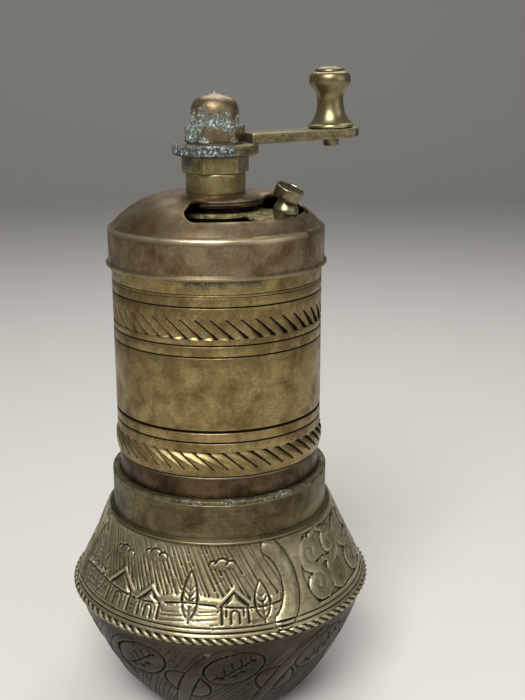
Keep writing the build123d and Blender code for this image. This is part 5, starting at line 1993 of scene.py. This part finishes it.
@dataclass(frozen=True)
class Lamp:
    """A soft square lamp that looks at the middle of the mill.

    Attributes:
        name: its name.
        place: where it hangs, in millimetres.
        size: its side in millimetres.
        watts: its power.
    """

    name: str
    place: tuple[float, float, float]
    size: float
    watts: float


@dataclass
class Studio:
    """The camera, the lamps and the plain floor.

    Attributes:
        camera: the camera's place in millimetres.
        pitch: degrees that it looks down.
        yaw: degrees that it looks to the right.
        roll: degrees that it is rolled.
        focus: focal length in pixels of the photograph.
        frame_height: of the photograph in pixels.
        floor_colour: hex colour of the floor.
        world_colour, world_strength: of the light from all round.
        lamps: the lamps.
        aim: height that they look at, in millimetres.
    """

    camera: tuple[float, float, float] = (0.0, -239.3, 157.0)
    pitch: float = 15.49
    yaw: float = 2.60
    roll: float = -0.14
    focus: float = 1013.4
    frame_height: float = 700.0
    floor_colour: str = "#C9C6C0"
    world_colour: str = "#B9B9B9"
    world_strength: float = 0.36
    lamps: tuple[Lamp, ...] = (Lamp("window", (-110, -500, 620), 380, 7.4),
            Lamp("room", (480, -300, 300), 420, 0.6), Lamp("ceiling", (60, 300, 560), 420, 1.7))
    aim: float = 80.0

    def make(self) -> None:
        """Sets up camera, lamps, floor and world."""
        bpy.context.scene.view_settings.view_transform = "Standard"
        self.make_camera()
        self.make_floor()
        for lamp in self.lamps:
            self.make_lamp(lamp)
        world = bpy.data.worlds.new("studio")
        world.use_nodes = True
        world.node_tree.nodes["Background"].inputs[0].default_value = linear(self.world_colour)
        world.node_tree.nodes["Background"].inputs[1].default_value = self.world_strength
        bpy.context.scene.world = world

    def make_camera(self) -> None:
        """Places the camera at the photograph's angle."""
        pitch, yaw, roll = (math.radians(a) for a in (self.pitch, self.yaw, self.roll))
        ahead = Vector((math.sin(yaw) * math.cos(pitch), math.cos(yaw) * math.cos(pitch), -math.sin(pitch)))
        right = Vector((math.cos(yaw), -math.sin(yaw), 0))
        up = right.cross(ahead)
        right, up = (math.cos(roll) * right + math.sin(roll) * up, math.cos(roll) * up
                - math.sin(roll) * right)
        data = bpy.data.cameras.new("camera")
        data.sensor_width = 36.0
        data.lens = self.focus * data.sensor_width / self.frame_height
        data.clip_start = 0.01
        camera = bpy.data.objects.new("camera", data)
        matrix = Matrix((right, up, -ahead)).transposed().to_4x4()
        matrix.translation = Vector(self.camera) * MM
        camera.matrix_world = matrix
        bpy.context.scene.collection.objects.link(camera)
        bpy.context.scene.camera = camera

    def make_floor(self) -> None:
        """Lays a plain floor that sweeps up behind the mill."""
        bm = bmesh.new()
        bmesh.ops.create_grid(bm, x_segments=1, y_segments=1, size=1.6)
        back = [e for e in bm.edges if all(v.co.y > 1 for v in e.verts)]
        wall = bmesh.ops.extrude_edge_only(bm, edges=back)["geom"]
        bmesh.ops.translate(bm, vec=(0, 0, 2.0), verts=[v for v in wall if isinstance(v, bmesh.types.BMVert)])
        bmesh.ops.bevel(bm, geom=back, offset=0.6, offset_type="OFFSET", segments=16, profile=0.5,
                affect="EDGES", clamp_overlap=True, material=-1)
        bmesh.ops.recalc_face_normals(bm, faces=bm.faces)
        mesh = bpy.data.meshes.new("floor")
        bm.to_mesh(mesh)
        bm.free()
        mesh.shade_smooth()
        material = bpy.data.materials.new("plain_floor_paper")
        material.use_nodes = True
        shader = material.node_tree.nodes["Principled BSDF"]
        shader.inputs["Base Color"].default_value = linear(self.floor_colour)
        shader.inputs["Roughness"].default_value = 0.9
        mesh.materials.append(material)
        floor = bpy.data.objects.new("floor", mesh)
        bpy.context.scene.collection.objects.link(floor)

    def make_lamp(self, lamp: Lamp) -> None:
        """Hangs a lamp and turns it to the mill.

        Args:
            lamp: its place, size and power.
        """
        data = bpy.data.lights.new(lamp.name, "AREA")
        data.shape = "SQUARE"
        data.size = lamp.size * MM
        data.energy = lamp.watts
        holder = bpy.data.objects.new(lamp.name, data)
        holder.location = Vector(lamp.place) * MM
        aim = Vector((0, 0, self.aim * MM)) - holder.location
        holder.rotation_euler = aim.to_track_quat("-Z", "Y").to_euler()
        bpy.context.scene.collection.objects.link(holder)


def dress_spindle() -> None:
    """Gives the shaft, the burr and their nut their finishes."""
    for node in ("shaft", "burr_washer", "burr_nut"):
        dress(node, TURNED_STEEL)
    dress("inner_burr", BURR_IRON)


def main() -> None:
    """Builds the mill around the frame, sub-assembly by sub-assembly."""
    logging.basicConfig(level=logging.INFO, format="%(name)s %(message)s")
    for part in (Studio(), Receptacle(), Barrel(), Shutter(), Crank(), Handle()):
        part.make()
        log.info("%s done", type(part).__name__)
    dress_spindle()


if __name__ == "__main__":
    main()
